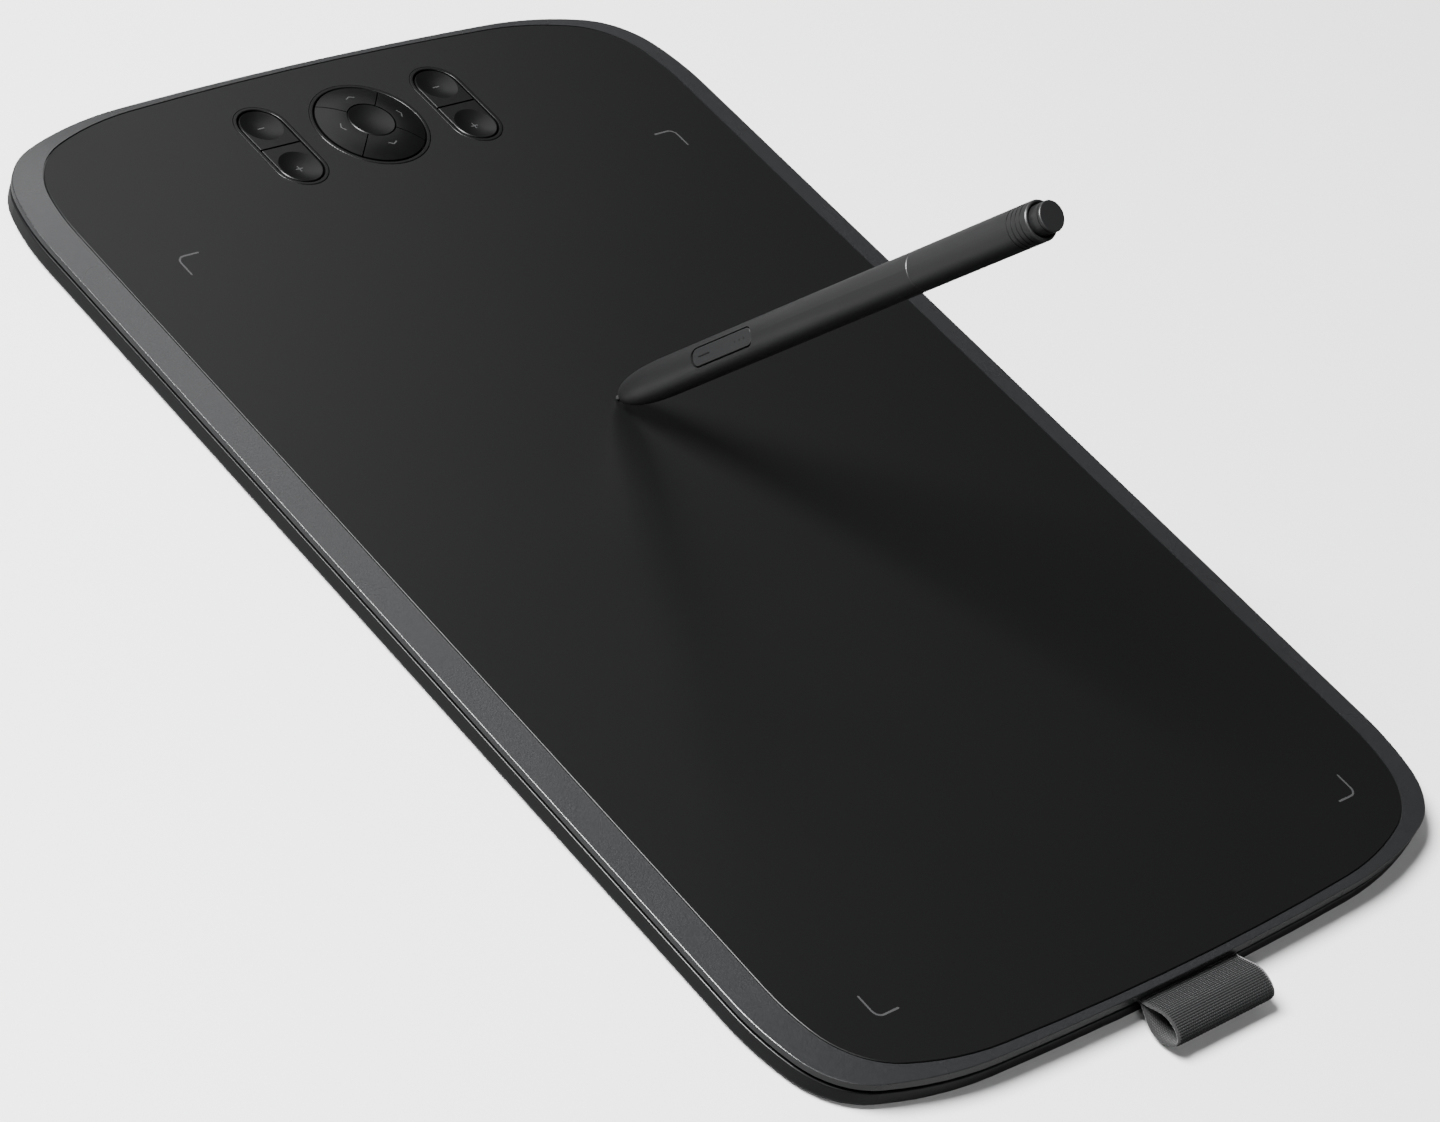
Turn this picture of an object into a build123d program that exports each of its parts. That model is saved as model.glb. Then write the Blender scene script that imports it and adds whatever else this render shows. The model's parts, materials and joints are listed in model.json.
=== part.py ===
from build123d import *
import os
from math import asin, cos, degrees, radians, sin, tan

# Screenless pen tablet with eight keys, a fabric pen loop and its cordless pen.
# Millimetres, +Z up. The origin is on the desk under the middle of the footprint, and +X runs
# from the keys' end to the loop's end.

os.makedirs("parts", exist_ok=True)

# ---------------------------------------------------------------- driving sizes: tablet
foot_height = 0.6
body_thickness = 8.6
case_length = 329.2
case_width = 208.8
border_end = 2.05  # border's width at the ends
border_side = 7.9  # and along the long sides
border_slope = 10.5  # degrees that the border falls outwards from the film
film_length = case_length - 2 * border_end
film_width = case_width - 2 * border_side
film_thickness = 0.5
film_gap = 0.35  # shadow line between the film and the border

# An outline is (length, width, end bow radius, corner radii, turns in degrees between them).
film_shape = (film_length, film_width, 950.0, (78.0, 22.5, 60.0), (22.0, 77.1))
case_shape = (case_length, case_width, 1300.0, (99.7, 21.2, 66.2), (20.0, 74.0))

upper_wall_depth = 2.9  # film top down to the top case's lower edge
shadow_groove = 1.1
plate_thickness = 1.4
shell_wall = 1.25
rim_rounding = 0.3
tray_inset = 0.15
tray_wall = 2.5
tray_floor = 1.2
tray_bottom_rounding = 1.5
tray_shoulder_rounding = 0.4
slip = 0.1  # clearance between pieces that slide together
touch = 0.05

active_length = case_length - 75.2
active_width = case_width - 50.05
active_shift = (16.35, 0.55)  # active area's centre from the body's centre
sensor_margin = 6.0
sensor_thickness = 1.2
shield_thickness = 0.3
shield_inset = 2.0
foam_thickness = 1.0
foam_inset = 8.0
rib_thickness = 1.2
rib_counts = (6, 4)  # across the length, along it

# keys
cluster_inset = 26.75  # case end to the keys' centre
pill_pitch = 28.0
pill_length = 27.5
pill_width = 11.9
pill_split = 0.55
dpad_radius = 14.1
dpad_split = 0.3
hub_radius = 6.1
hub_gap = 0.25
key_gap = 0.45
ring_wall = 1.0
ring_rise = 0.1
ring_flange = 1.0
ring_flange_thickness = 0.6
key_flange = 1.2
key_flange_thickness = 0.6
key_flange_gap = 0.2
key_travel = 0.5
plunger_radius = 1.5
plunger_length = 0.15
dish_radius = 5.5
dish_offset = 8.1
dish_depth = 0.9
dome_rise = 1.5
dome_edge_rise = 0.2
dpad_dish_depth = 0.7
dpad_press_radius = 10.2

# electronics
board_thickness = 1.0
board_standoff = 0.8
board_size = (41.0, 88.0)
board_end_gap = 4.2  # case end to the board's edge
switch_size = 4.5
switch_height = 1.0
switch_button_radius = 1.0
usb_width = 8.94
usb_height = 3.16
usb_depth = 7.3
usb_wall = 0.3
usb_centre_height = 2.8  # above the tray's underside
ribbon_width = 20.0
ribbon_thickness = 0.2

# fasteners and feet
screw_inset = (34.6, 11.4)  # case's end and side to the outer screws
screw_radius = 1.0
screw_head_radius = 1.9
screw_head_height = 1.2
screw_grip = 3.3  # thread length inside the top case's boss
boss_radius = 2.6
pad_height = 1.2
cross_width = 0.5
board_screw_radius = 0.8
board_screw_inset = (3.5, 5.0)
foot_size = (38.0, 9.0)
foot_recess = 0.4
foot_inset = (39.6, 24.4)  # case's end and side to a foot's centre

# pen loop
loop_width = 32.2
loop_reach = 12.75  # loop's nose beyond the case's end
loop_thickness = 0.5
loop_tail = 8.0
loop_slot_side = 0.5

# ---------------------------------------------------------------- driving sizes: pen
pen_length = 156.0
pen_azimuth = -2.07  # degrees from +X
pen_elevation = 54.86
pen_roll = 75.2  # side button's turn about the axis, from straight up
pen_tip = (-31.96, -5.4, 0.2)  # from the body's centre and the film's top
grip_radius = 4.66
barrel_radius = 4.58
barrel_wall = 1.1
nose_length = 22.0
nose_start = 1.9
nose_bore = 0.75
nose_bore_length = 5.5
tail_length = 42.35  # seam to the pen's end
seam_height = pen_length - tail_length
seam_gap = 0.12
barrel_end = pen_length - 3.2
end_rounding = 0.6
end_bore_radius = 3.7
end_bore_depth = 9.0
end_chamfer = 0.36
grip_ring_pitch = 1.4
grip_rings = [barrel_end - 1.9 - grip_ring_pitch * turn for turn in range(4)]
grip_ring_width = 0.36
grip_ring_depth = 0.25
tail_neck_radius = 3.45
tail_groove_radius = 3.1
tail_groove = (pen_length - 1.0, pen_length - 0.7)
tail_head_radius = 3.5
tail_head_rounding = 0.35
tail_travel = 1.0
tail_stem_radius = 1.2
nib_radius = 0.6
nib_length = 26.0
nib_travel = 0.4
rocker_start = 36.0
rocker_end = 58.0
rocker_width = 4.1
rocker_flat = grip_radius - 0.41  # button's flat from the pen's axis
rocker_gap = 0.35
rocker_thickness = 1.1
rocker_pin_offset = 2.2
rocker_pin_radius = 0.5
rocker_leg_offset = 7.0
chassis_span = (24.0, seam_height - 9.65)
chassis_width = 4.4
chassis_low = -2.6
chassis_thickness = 1.6
pen_board_thickness = 0.8
pen_board_width = 4.6
coupler_length = 18.0
coupler_wall = 0.7

# ---------------------------------------------------------------- levels and shared places
tray_bottom = foot_height
film_top = tray_bottom + body_thickness
plate_top = film_top - film_thickness
plate_underside = plate_top - plate_thickness
parting_top = film_top - upper_wall_depth
shoulder = parting_top - shadow_groove
floor_top = tray_bottom + tray_floor
sensor_underside = plate_underside - sensor_thickness
shield_underside = sensor_underside - shield_thickness
foam_underside = shield_underside - foam_thickness
board_underside = floor_top + board_standoff
board_top = board_underside + board_thickness
usb_z = tray_bottom + usb_centre_height
body_x = -loop_reach / 2  # body's centre, so that body and loop together are centred
case_end = case_length / 2
cluster_x = cluster_inset - case_end
board_x = -case_end + board_end_gap + board_size[0] / 2
board_edge = board_x + board_size[0] / 2
tray_inner = tray_inset + tray_wall
tongue_outer = shell_wall + slip
slope_run = upper_wall_depth / tan(radians(border_slope))

ring_flange_under = plate_underside - ring_flange_thickness
key_flange_top = ring_flange_under - key_flange_gap
key_flange_under = key_flange_top - key_flange_thickness
plunger_under = key_flange_under - plunger_length
switch_top = plunger_under - key_travel - touch

screw_x = case_end - screw_inset[0]
screw_y = case_width / 2 - screw_inset[1]
foot_x = case_end - foot_inset[0]
foot_y = case_width / 2 - foot_inset[1]
screw_points = [(x, y) for x in (-screw_x, 0, screw_x) for y in (-screw_y, screw_y)]
foot_points = [(x, y) for x in (-foot_x, foot_x) for y in (-foot_y, foot_y)]
pill_places = {"upper": pill_pitch, "lower": -pill_pitch}
half_sides = {"left": -1, "right": 1}
dpad_turns = {"right": 0, "up": 90, "left": 180, "down": 270}
board_screw_x = board_size[0] / 2 - board_screw_inset[0]
board_screw_y = board_size[1] / 2 - board_screw_inset[1]
board_screw_points = [(board_x + sx * board_screw_x, sy * board_screw_y) for sx in (-1, 1) for sy in (-1, 1)]


# A level plane through the body's centre line at height z.
def level(z):
    return Plane((body_x, 0, z))


# Body outline: a shallow bow at each end, three arcs round each corner and straight long sides,
# all tangent. Growing it moves every arc's radius by the same amount.
def outline(shape, grow=0.0):
    length, width, bow_radius, radii, turns = shape
    first, second = (radians(turn) for turn in turns)
    corner = radii[0] * sin(first) + radii[1] * (sin(second) - sin(first)) + radii[2] * (1 - sin(second))
    bow_turn = degrees(asin((width / 2 - corner) / (bow_radius - radii[0])))
    stops = (bow_turn, *turns, 90)
    steps = (bow_radius, *radii, radii[-1])
    centre = Vector(length / 2 - bow_radius, 0)
    start = 0.0
    with BuildSketch() as flat:
        with BuildLine() as edge:
            for radius, next_radius, stop in zip(steps, steps[1:], stops):
                CenterArc(centre, radius + grow, start, stop - start)
                shift = radius - next_radius
                centre += Vector(shift * cos(radians(stop)), shift * sin(radians(stop)))
                start = stop
            Line((centre.X, width / 2 + grow), (0, width / 2 + grow))
            mirror(about=Plane.YZ)
            mirror(about=Plane.XZ)
        make_face()
    return flat.sketch


# The three key openings, grown from the keys' own outlines.
def openings(grow):
    with BuildSketch() as holes:
        with Locations((cluster_x, pill_pitch), (cluster_x, -pill_pitch)):
            SlotOverall(pill_length + 2 * grow, pill_width + 2 * grow)
        with Locations((cluster_x, 0)):
            Circle(dpad_radius + grow)
    return holes.sketch


def save(piece, name):
    piece.part.label = name
    export_step(piece.part, f"parts/{name}.step")


# ---------------------------------------------------------------- cases
ring_outer = key_gap + ring_wall

with BuildPart() as top_case:
    with BuildSketch(level(parting_top)):
        add(outline(case_shape))
    extrude(amount=upper_wall_depth)
    # the border slopes down from the film's edge
    with BuildSketch(level(film_top)):
        add(outline(film_shape))
    with BuildSketch(level(parting_top)):
        add(outline(film_shape, slope_run))
    loft(ruled=True, mode=Mode.INTERSECT)
    walls = top_case.faces().filter_by(lambda f: abs(f.normal_at().Z) < 0.01)
    rim = walls.edges().filter_by(Axis.Z, reverse=True).filter_by(lambda e: e.center().Z > parting_top + 0.1)
    fillet(rim, rim_rounding)
    with BuildSketch(level(parting_top)):
        add(outline(case_shape, -shell_wall))
    extrude(amount=plate_underside - parting_top, mode=Mode.SUBTRACT)
    with BuildSketch(level(film_top)):
        add(outline(film_shape, film_gap))
    extrude(amount=-film_thickness, mode=Mode.SUBTRACT)
    with BuildSketch(level(plate_underside)):
        add(openings(ring_outer + touch))
    extrude(amount=plate_thickness, mode=Mode.SUBTRACT)
    # screw bosses
    with BuildSketch(level(floor_top + pad_height + slip)):
        with Locations(*screw_points):
            Circle(boss_radius)
            Circle(screw_radius + 0.02, mode=Mode.SUBTRACT)
    extrude(until=Until.NEXT)
save(top_case, "top_case")

with BuildPart() as bottom_case:
    with BuildSketch(level(tray_bottom)):
        add(outline(case_shape, -tray_inset))
    extrude(amount=shoulder - tray_bottom)
    fillet(bottom_case.faces().sort_by(Axis.Z)[0].edges(), tray_bottom_rounding)
    fillet(bottom_case.faces().sort_by(Axis.Z)[-1].edges(), tray_shoulder_rounding)
    with BuildSketch(level(floor_top)):
        add(outline(case_shape, -tray_inner))
    extrude(amount=shoulder - floor_top, mode=Mode.SUBTRACT)
    # tongue that closes the shadow groove from inside
    with BuildSketch(level(shoulder - tray_shoulder_rounding)):
        add(outline(case_shape, -tongue_outer))
        add(outline(case_shape, -tray_inner), mode=Mode.SUBTRACT)
    extrude(amount=plate_underside - slip - shoulder + tray_shoulder_rounding)
    # slot in the tongue for the pen loop, and the ledge that its tails lie on
    with BuildSketch(level(shoulder)):
        with Locations((case_end, 0)):
            Rectangle(4 * tray_inner, loop_width + 2 * loop_slot_side)
    extrude(amount=plate_underside - shoulder, mode=Mode.SUBTRACT)
    with BuildSketch(level(floor_top)):
        with Locations((case_end - tray_inner - touch, 0)):
            Rectangle(loop_tail - tray_inner, loop_width, align=(Align.MAX, Align.CENTER))
    extrude(amount=shoulder - floor_top)
    # ribs that carry the sensor stack
    with BuildSketch(level(floor_top)):
        with Locations(active_shift):
            with GridLocations(active_length / (rib_counts[0] + 0.5), 0, rib_counts[0], 1):
                Rectangle(rib_thickness, active_width - 2 * foam_inset)
            with GridLocations(0, active_width / (rib_counts[1] + 0.5), 1, rib_counts[1]):
                Rectangle(active_length - 2 * foam_inset, rib_thickness)
    extrude(amount=foam_underside - floor_top)
    # board stand-offs and screw pads
    with BuildSketch(level(floor_top)):
        with Locations(*board_screw_points):
            Circle(2 * board_screw_radius)
    extrude(amount=board_standoff)
    with BuildSketch(level(floor_top)):
        with Locations(*screw_points):
            Circle(boss_radius + 1.0)
    extrude(amount=pad_height)
    with BuildSketch(level(tray_bottom)):
        with Locations(*screw_points):
            Circle(screw_radius + slip)
    extrude(amount=tray_floor + pad_height, mode=Mode.SUBTRACT)
    with BuildSketch(level(tray_bottom)):
        with Locations(*screw_points):
            Circle(screw_head_radius + 2 * slip)
    extrude(amount=screw_head_height + foot_recess, mode=Mode.SUBTRACT)
    with BuildSketch(level(tray_bottom)):
        with Locations(*foot_points):
            SlotOverall(foot_size[0] + 2 * slip, foot_size[1] + 2 * slip)
    extrude(amount=foot_recess, mode=Mode.SUBTRACT)
    # mouth of the cable socket
    with BuildSketch(Plane((body_x - case_end - tray_inner, 0, usb_z), x_dir=(0, 1, 0), z_dir=(1, 0, 0))):
        RectangleRounded(usb_width + 2 * slip, usb_height + 2 * slip, 0.45 * usb_height)
    extrude(amount=3 * tray_inner, mode=Mode.SUBTRACT)
save(bottom_case, "bottom_case")

with BuildPart() as drawing_film:
    with BuildSketch(level(plate_top)):
        add(outline(film_shape))
        add(openings(ring_outer + 2 * touch), mode=Mode.SUBTRACT)
    extrude(amount=film_thickness)
    chamfer(drawing_film.faces().sort_by(Axis.Z)[-1].outer_wire().edges(), 0.12)
save(drawing_film, "drawing_film")

# ---------------------------------------------------------------- trims and keys
ring_inner = key_gap

for name, place in pill_places.items():
    with BuildPart() as pill_ring:
        with BuildSketch(level(ring_flange_under)):
            with Locations((cluster_x, place)):
                SlotOverall(pill_length + 2 * ring_outer, pill_width + 2 * ring_outer)
        extrude(amount=film_top + ring_rise - ring_flange_under)
        fillet(pill_ring.faces().sort_by(Axis.Z)[-1].edges(), 0.25)
        with BuildSketch(level(ring_flange_under)):
            with Locations((cluster_x, place)):
                flange = ring_outer + ring_flange
                SlotOverall(pill_length + 2 * flange, pill_width + 2 * flange)
        extrude(amount=ring_flange_thickness)
        with BuildSketch(level(ring_flange_under)):
            with Locations((cluster_x, place)):
                SlotOverall(pill_length + 2 * ring_inner, pill_width + 2 * ring_inner)
        extrude(amount=film_top + ring_rise - ring_flange_under, mode=Mode.SUBTRACT)
        fillet(pill_ring.faces().filter_by(Axis.Z).sort_by(Axis.Z)[-1].inner_wires()[0].edges(), 0.25)
    save(pill_ring, f"pill_ring_{name}")

with BuildPart() as dpad_ring:
    with BuildSketch(level(ring_flange_under)):
        with Locations((cluster_x, 0)):
            Circle(dpad_radius + ring_outer + ring_flange)
    extrude(amount=ring_flange_thickness)
    with BuildSketch(level(plate_underside)):
        with Locations((cluster_x, 0)):
            Circle(dpad_radius + ring_outer)
    extrude(amount=film_top + ring_rise - plate_underside)
    with BuildSketch(level(ring_flange_under)):
        with Locations((cluster_x, 0)):
            Circle(dpad_radius + ring_inner)
    extrude(amount=film_top + ring_rise - ring_flange_under, mode=Mode.SUBTRACT)
    fillet(dpad_ring.faces().filter_by(Axis.Z).sort_by(Axis.Z)[-1].edges(), 0.25)
save(dpad_ring, "dpad_ring")

dish_sphere = (dish_radius**2 + dish_depth**2) / (2 * dish_depth)

for row, place in pill_places.items():
    for half, side in half_sides.items():
        dish_centre = (body_x + cluster_x + side * dish_offset, place, film_top - dish_depth + dish_sphere)
        with BuildPart() as pill_key:
            with BuildSketch(level(key_flange_under)):
                with Locations((cluster_x, place)):
                    SlotOverall(pill_length, pill_width)
            extrude(amount=film_top - key_flange_under)
            chamfer(pill_key.faces().sort_by(Axis.Z)[-1].edges(), 0.15)
            with BuildSketch(level(key_flange_under)):
                with Locations((cluster_x, place)):
                    SlotOverall(pill_length + 2 * key_flange, pill_width + 2 * key_flange)
            extrude(amount=key_flange_thickness)
            # keep one half of the pill
            with BuildSketch(level(key_flange_under)):
                with Locations((cluster_x + side * (pill_split / 2 + pill_length / 2), place)):
                    Rectangle(pill_length, 2 * pill_width)
            extrude(amount=film_top - key_flange_under, mode=Mode.INTERSECT)
            with BuildSketch(level(key_flange_under)):
                with Locations((cluster_x + side * dish_offset, place)):
                    Circle(plunger_radius)
            extrude(amount=-plunger_length)
            with Locations(dish_centre):
                Sphere(dish_sphere, mode=Mode.SUBTRACT)
        save(pill_key, f"pill_key_{row}_{half}")

# Domed round pad: one profile turned about the pad's axis, cut into four sectors.
pad_axis = Axis((body_x + cluster_x, 0, 0), (0, 0, 1))
pad_section = Plane((body_x + cluster_x, 0, 0), x_dir=(1, 0, 0), z_dir=(0, -1, 0))
sector_inner = hub_radius + hub_gap

for name, turn in dpad_turns.items():
    facing = Vector(cos(radians(turn)), sin(radians(turn)), 0)
    with BuildPart() as dpad_key:
        with BuildSketch(pad_section):
            with BuildLine():
                Polyline(
                    (sector_inner, film_top + dome_rise),
                    (sector_inner, key_flange_under),
                    (dpad_radius + key_flange, key_flange_under),
                    (dpad_radius + key_flange, key_flange_top),
                    (dpad_radius, key_flange_top),
                    (dpad_radius, film_top + dome_edge_rise),
                )
                ThreePointArc(
                    (dpad_radius, film_top + dome_edge_rise),
                    ((dpad_radius + sector_inner) / 2 + 0.4, film_top + 0.74 * dome_rise),
                    (sector_inner, film_top + dome_rise),
                )
            make_face()
        revolve(axis=pad_axis)
        # quarter between the two diagonal splits
        with BuildSketch(Plane((body_x + cluster_x, 0, key_flange_under), x_dir=facing)):
            with Locations(Location((dpad_split * cos(radians(45)), 0), -45)):
                Rectangle(2 * dpad_radius, 2 * dpad_radius, align=(Align.MIN, Align.MIN))
        extrude(amount=film_top + dome_rise - key_flange_under + 1, mode=Mode.INTERSECT)
        with BuildSketch(Plane((body_x + cluster_x, 0, key_flange_under), x_dir=facing)):
            with Locations((dpad_press_radius, 0)):
                Circle(plunger_radius)
        extrude(amount=-plunger_length)
    save(dpad_key, f"dpad_key_{name}")

hub_rim = hub_radius - 0.2
hub_sphere = (hub_rim**2 + dpad_dish_depth**2) / (2 * dpad_dish_depth)
hub_low = film_top + dome_rise - dpad_dish_depth

with BuildPart() as dpad_hub:
    with BuildSketch(pad_section):
        with BuildLine():
            Polyline(
                (0, hub_low),
                (0, board_top),
                (3, board_top),
                (3, key_flange_under),
                (hub_radius, key_flange_under),
                (hub_radius, film_top + dome_rise - 0.15),
                (hub_rim, film_top + dome_rise),
            )
            CenterArc((0, hub_low + hub_sphere), hub_sphere, -90, degrees(asin(hub_rim / hub_sphere)))
        make_face()
    revolve(axis=pad_axis)
save(dpad_hub, "dpad_hub")

# ---------------------------------------------------------------- sensor stack
sensor_size = (active_length + 2 * sensor_margin, active_width + 2 * sensor_margin)

with BuildPart() as sensor_board:
    with BuildSketch(level(sensor_underside)):
        with Locations(active_shift):
            RectangleRounded(sensor_size[0], sensor_size[1], 5)
    extrude(amount=sensor_thickness)
save(sensor_board, "sensor_board")

with BuildPart() as shield_plate:
    with BuildSketch(level(shield_underside)):
        with Locations(active_shift):
            RectangleRounded(sensor_size[0] - 2 * shield_inset, sensor_size[1] - 2 * shield_inset, 4)
    extrude(amount=shield_thickness)
save(shield_plate, "shield_plate")

with BuildPart() as foam_sheet:
    with BuildSketch(level(foam_underside)):
        with Locations(active_shift):
            RectangleRounded(sensor_size[0] - 2 * foam_inset, sensor_size[1] - 2 * foam_inset, 4)
    extrude(amount=foam_thickness)
save(foam_sheet, "foam_sheet")

# ---------------------------------------------------------------- main board and what is on it
press_points = [(cluster_x + side * dish_offset, place) for place in pill_places.values() for side in (-1, 1)]
press_points += [
    (cluster_x + dpad_press_radius * cos(radians(turn)), dpad_press_radius * sin(radians(turn)))
    for turn in dpad_turns.values()
]

with BuildPart() as main_board:
    with BuildSketch(level(board_underside)):
        with Locations((board_x, 0)):
            RectangleRounded(board_size[0], board_size[1], 2)
        with Locations((-case_end, 0)):
            Rectangle(2 * (usb_depth + 2 * tray_inset + slip), usb_width + 2 * slip, mode=Mode.SUBTRACT)
        with Locations(*board_screw_points):
            Circle(board_screw_radius + slip, mode=Mode.SUBTRACT)
    extrude(amount=board_thickness)
save(main_board, "main_board")

with BuildPart() as key_switches:
    with BuildSketch(level(board_top)):
        with Locations(*press_points):
            RectangleRounded(switch_size, switch_size, 0.4)
    extrude(amount=switch_height)
    with BuildSketch(level(board_top + switch_height)):
        with Locations(*press_points):
            Circle(switch_button_radius)
    extrude(amount=switch_top - board_top - switch_height)
save(key_switches, "key_switches")

with BuildPart() as board_chips:
    with BuildSketch(level(board_top)):
        with Locations((board_x + 14, 18)):
            Rectangle(7, 7)
        with Locations((board_x + 15, -14)):
            Rectangle(5, 6)
        with Locations((board_x - 17, 26), (board_x - 17, -26)):
            Rectangle(3, 3)
    extrude(amount=0.9)
save(board_chips, "board_chips")

with BuildPart() as usb_c_shell:
    with BuildSketch(Plane((body_x - case_end + 2 * tray_inset, 0, usb_z), x_dir=(0, 1, 0), z_dir=(1, 0, 0))):
        SlotOverall(usb_width, usb_height)
    extrude(amount=usb_depth)
    with BuildSketch(Plane((body_x - case_end + 2 * tray_inset, 0, usb_z), x_dir=(0, 1, 0), z_dir=(1, 0, 0))):
        SlotOverall(usb_width - 2 * usb_wall, usb_height - 2 * usb_wall)
    extrude(amount=usb_depth - usb_wall, mode=Mode.SUBTRACT)
save(usb_c_shell, "usb_c_shell")

with BuildPart() as usb_c_tongue:
    back = body_x - case_end + 2 * tray_inset + usb_depth - usb_wall
    with BuildSketch(Plane((back, 0, usb_z), x_dir=(0, 1, 0), z_dir=(-1, 0, 0))):
        RectangleRounded(6.7, 0.7, 0.2)
    extrude(amount=4.8)
save(usb_c_tongue, "usb_c_tongue")

sensor_edge = active_shift[0] - sensor_size[0] / 2
with BuildPart() as ribbon_cable:
    with BuildSketch(Plane((body_x, 0, 0), x_dir=(1, 0, 0), z_dir=(0, -1, 0))):
        run = [
            (board_edge - 4, board_top),
            (board_edge + 0.2, board_top),
            (sensor_edge + 0.1, sensor_underside - ribbon_thickness),
            (sensor_edge + shield_inset - 0.3, sensor_underside - ribbon_thickness),
        ]
        back_run = [(x, z + ribbon_thickness) for x, z in reversed(run)]
        with BuildLine():
            Polyline(*run, *back_run, close=True)
        make_face()
    extrude(amount=ribbon_width / 2, both=True)
save(ribbon_cable, "ribbon_cable")


# Screw with a pan head and a cross recess, standing head down at each point.
def screws(points, radius, head_radius, head_height, head_under, thread_length):
    with BuildPart() as group:
        with BuildSketch(level(head_under)):
            with Locations(*points):
                Circle(head_radius)
        extrude(amount=head_height)
        chamfer(group.faces().filter_by(Axis.Z).group_by(Axis.Z)[0].edges(), 0.2)
        with BuildSketch(level(head_under + head_height)):
            with Locations(*points):
                Circle(radius)
        extrude(amount=thread_length)
        with BuildSketch(level(head_under)):
            with Locations(*points):
                Rectangle(1.3 * head_radius, cross_width)
                Rectangle(cross_width, 1.3 * head_radius)
        extrude(amount=head_height / 2, mode=Mode.SUBTRACT)
    return group


screw_seat = tray_bottom + screw_head_height + foot_recess
screw_thread = tray_floor + pad_height + slip + screw_grip - screw_head_height - foot_recess
case_screws = screws(
    screw_points,
    screw_radius,
    screw_head_radius,
    screw_head_height,
    screw_seat - screw_head_height,
    screw_thread,
)
save(case_screws, "case_screws")

with BuildPart() as board_screws:
    with BuildSketch(level(board_top)):
        with Locations(*board_screw_points):
            Circle(2 * board_screw_radius)
    extrude(amount=0.6)
    with BuildSketch(level(board_underside)):
        with Locations(*board_screw_points):
            Circle(board_screw_radius)
    extrude(amount=board_thickness)
save(board_screws, "board_screws")

with BuildPart() as rubber_feet:
    with BuildSketch(level(0)):
        with Locations(*foot_points):
            SlotOverall(*foot_size)
    extrude(amount=foot_height + foot_recess)
    fillet(rubber_feet.faces().filter_by(Axis.Z).group_by(Axis.Z)[0].edges(), 0.25)
save(rubber_feet, "rubber_feet")

# ---------------------------------------------------------------- pen loop
# Folded strap: two tails clamped between the cases, and a teardrop outside them.
strap_low = shoulder + touch
strap_split = strap_low + loop_thickness
strap_high = strap_split + loop_thickness
mouth_x = case_end + 2 * tray_inset
nose_x = case_end + loop_reach


# The teardrop's outline at a depth below the strap's outer face; it is blunt where the strap pinches.
def teardrop(depth, pinch_x, pinch):
    with BuildSketch() as flat:
        with BuildLine():
            Spline(
                (pinch_x, strap_split + pinch),
                (nose_x - 4.9, strap_split + 2.7 - depth),
                (nose_x - depth, strap_split - 0.65),
                (nose_x - 4.2, strap_split - 4.15 + depth),
                (nose_x - 8.85 + 0.57 * depth, strap_split - 3.1 + 0.82 * depth),
                (pinch_x, strap_split - pinch),
                tangents=((1, 0.12), (-1, 0.45 + depth)),
            )
            Line((pinch_x, strap_split - pinch), (pinch_x, strap_split + pinch))
        make_face()
    return flat.sketch


with BuildPart() as pen_loop:
    with BuildSketch(Plane((body_x, loop_width / 2, 0), x_dir=(1, 0, 0), z_dir=(0, -1, 0))):
        add(teardrop(0, mouth_x, loop_thickness))
        add(teardrop(loop_thickness, mouth_x + 3 * loop_thickness, touch), mode=Mode.SUBTRACT)
        with Locations((mouth_x, strap_split)):
            Rectangle(loop_tail, 2 * loop_thickness, align=(Align.MAX, Align.CENTER))
    extrude(amount=loop_width)
save(pen_loop, "pen_loop")

with BuildPart() as loop_clamp:
    with BuildSketch(level(strap_high)):
        with Locations((case_end - tray_inner - 1, 0)):
            Rectangle(3.0, loop_width - 2, align=(Align.MAX, Align.CENTER))
    extrude(amount=plate_underside - strap_high)
save(loop_clamp, "loop_clamp")

# ---------------------------------------------------------------- pen
lean, heading, roll = radians(pen_elevation), radians(pen_azimuth), radians(pen_roll)
pen_foot = Vector(body_x + pen_tip[0], pen_tip[1], film_top + pen_tip[2])
pen_line = Vector(cos(lean) * cos(heading), cos(lean) * sin(heading), sin(lean))
pen_up = Vector(-sin(lean) * cos(heading), -sin(lean) * sin(heading), cos(lean))
button_way = pen_up * cos(roll) + pen_line.cross(pen_up) * sin(roll)
pen_axis = Axis(pen_foot, pen_line)
pen_section = Plane(pen_foot, x_dir=button_way, z_dir=button_way.cross(pen_line))
pen_side = Plane(pen_foot, x_dir=pen_line, z_dir=button_way)


# A plane across the pen at height h above its tip; its x points to the side button.
def across(h):
    return Plane(pen_foot + pen_line * h, x_dir=button_way, z_dir=pen_line)


# Closed profile of (radius, height) points, turned about the pen's axis.
def turned(points):
    with BuildPart() as piece:
        with BuildSketch(pen_section):
            with BuildLine():
                Polyline(*points, close=True)
            make_face()
        revolve(axis=pen_axis)
    return piece


# The side button's outline grown by a gap, seen from the button's side.
def button_outline(grow=0.0):
    length = rocker_end - rocker_start + 2 * grow
    width = rocker_width + 2 * grow
    with BuildSketch() as flat:
        with Locations(((rocker_start + rocker_end) / 2, 0)):
            RectangleRounded(length, width, 0.42 * width)
    return flat.sketch


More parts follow.
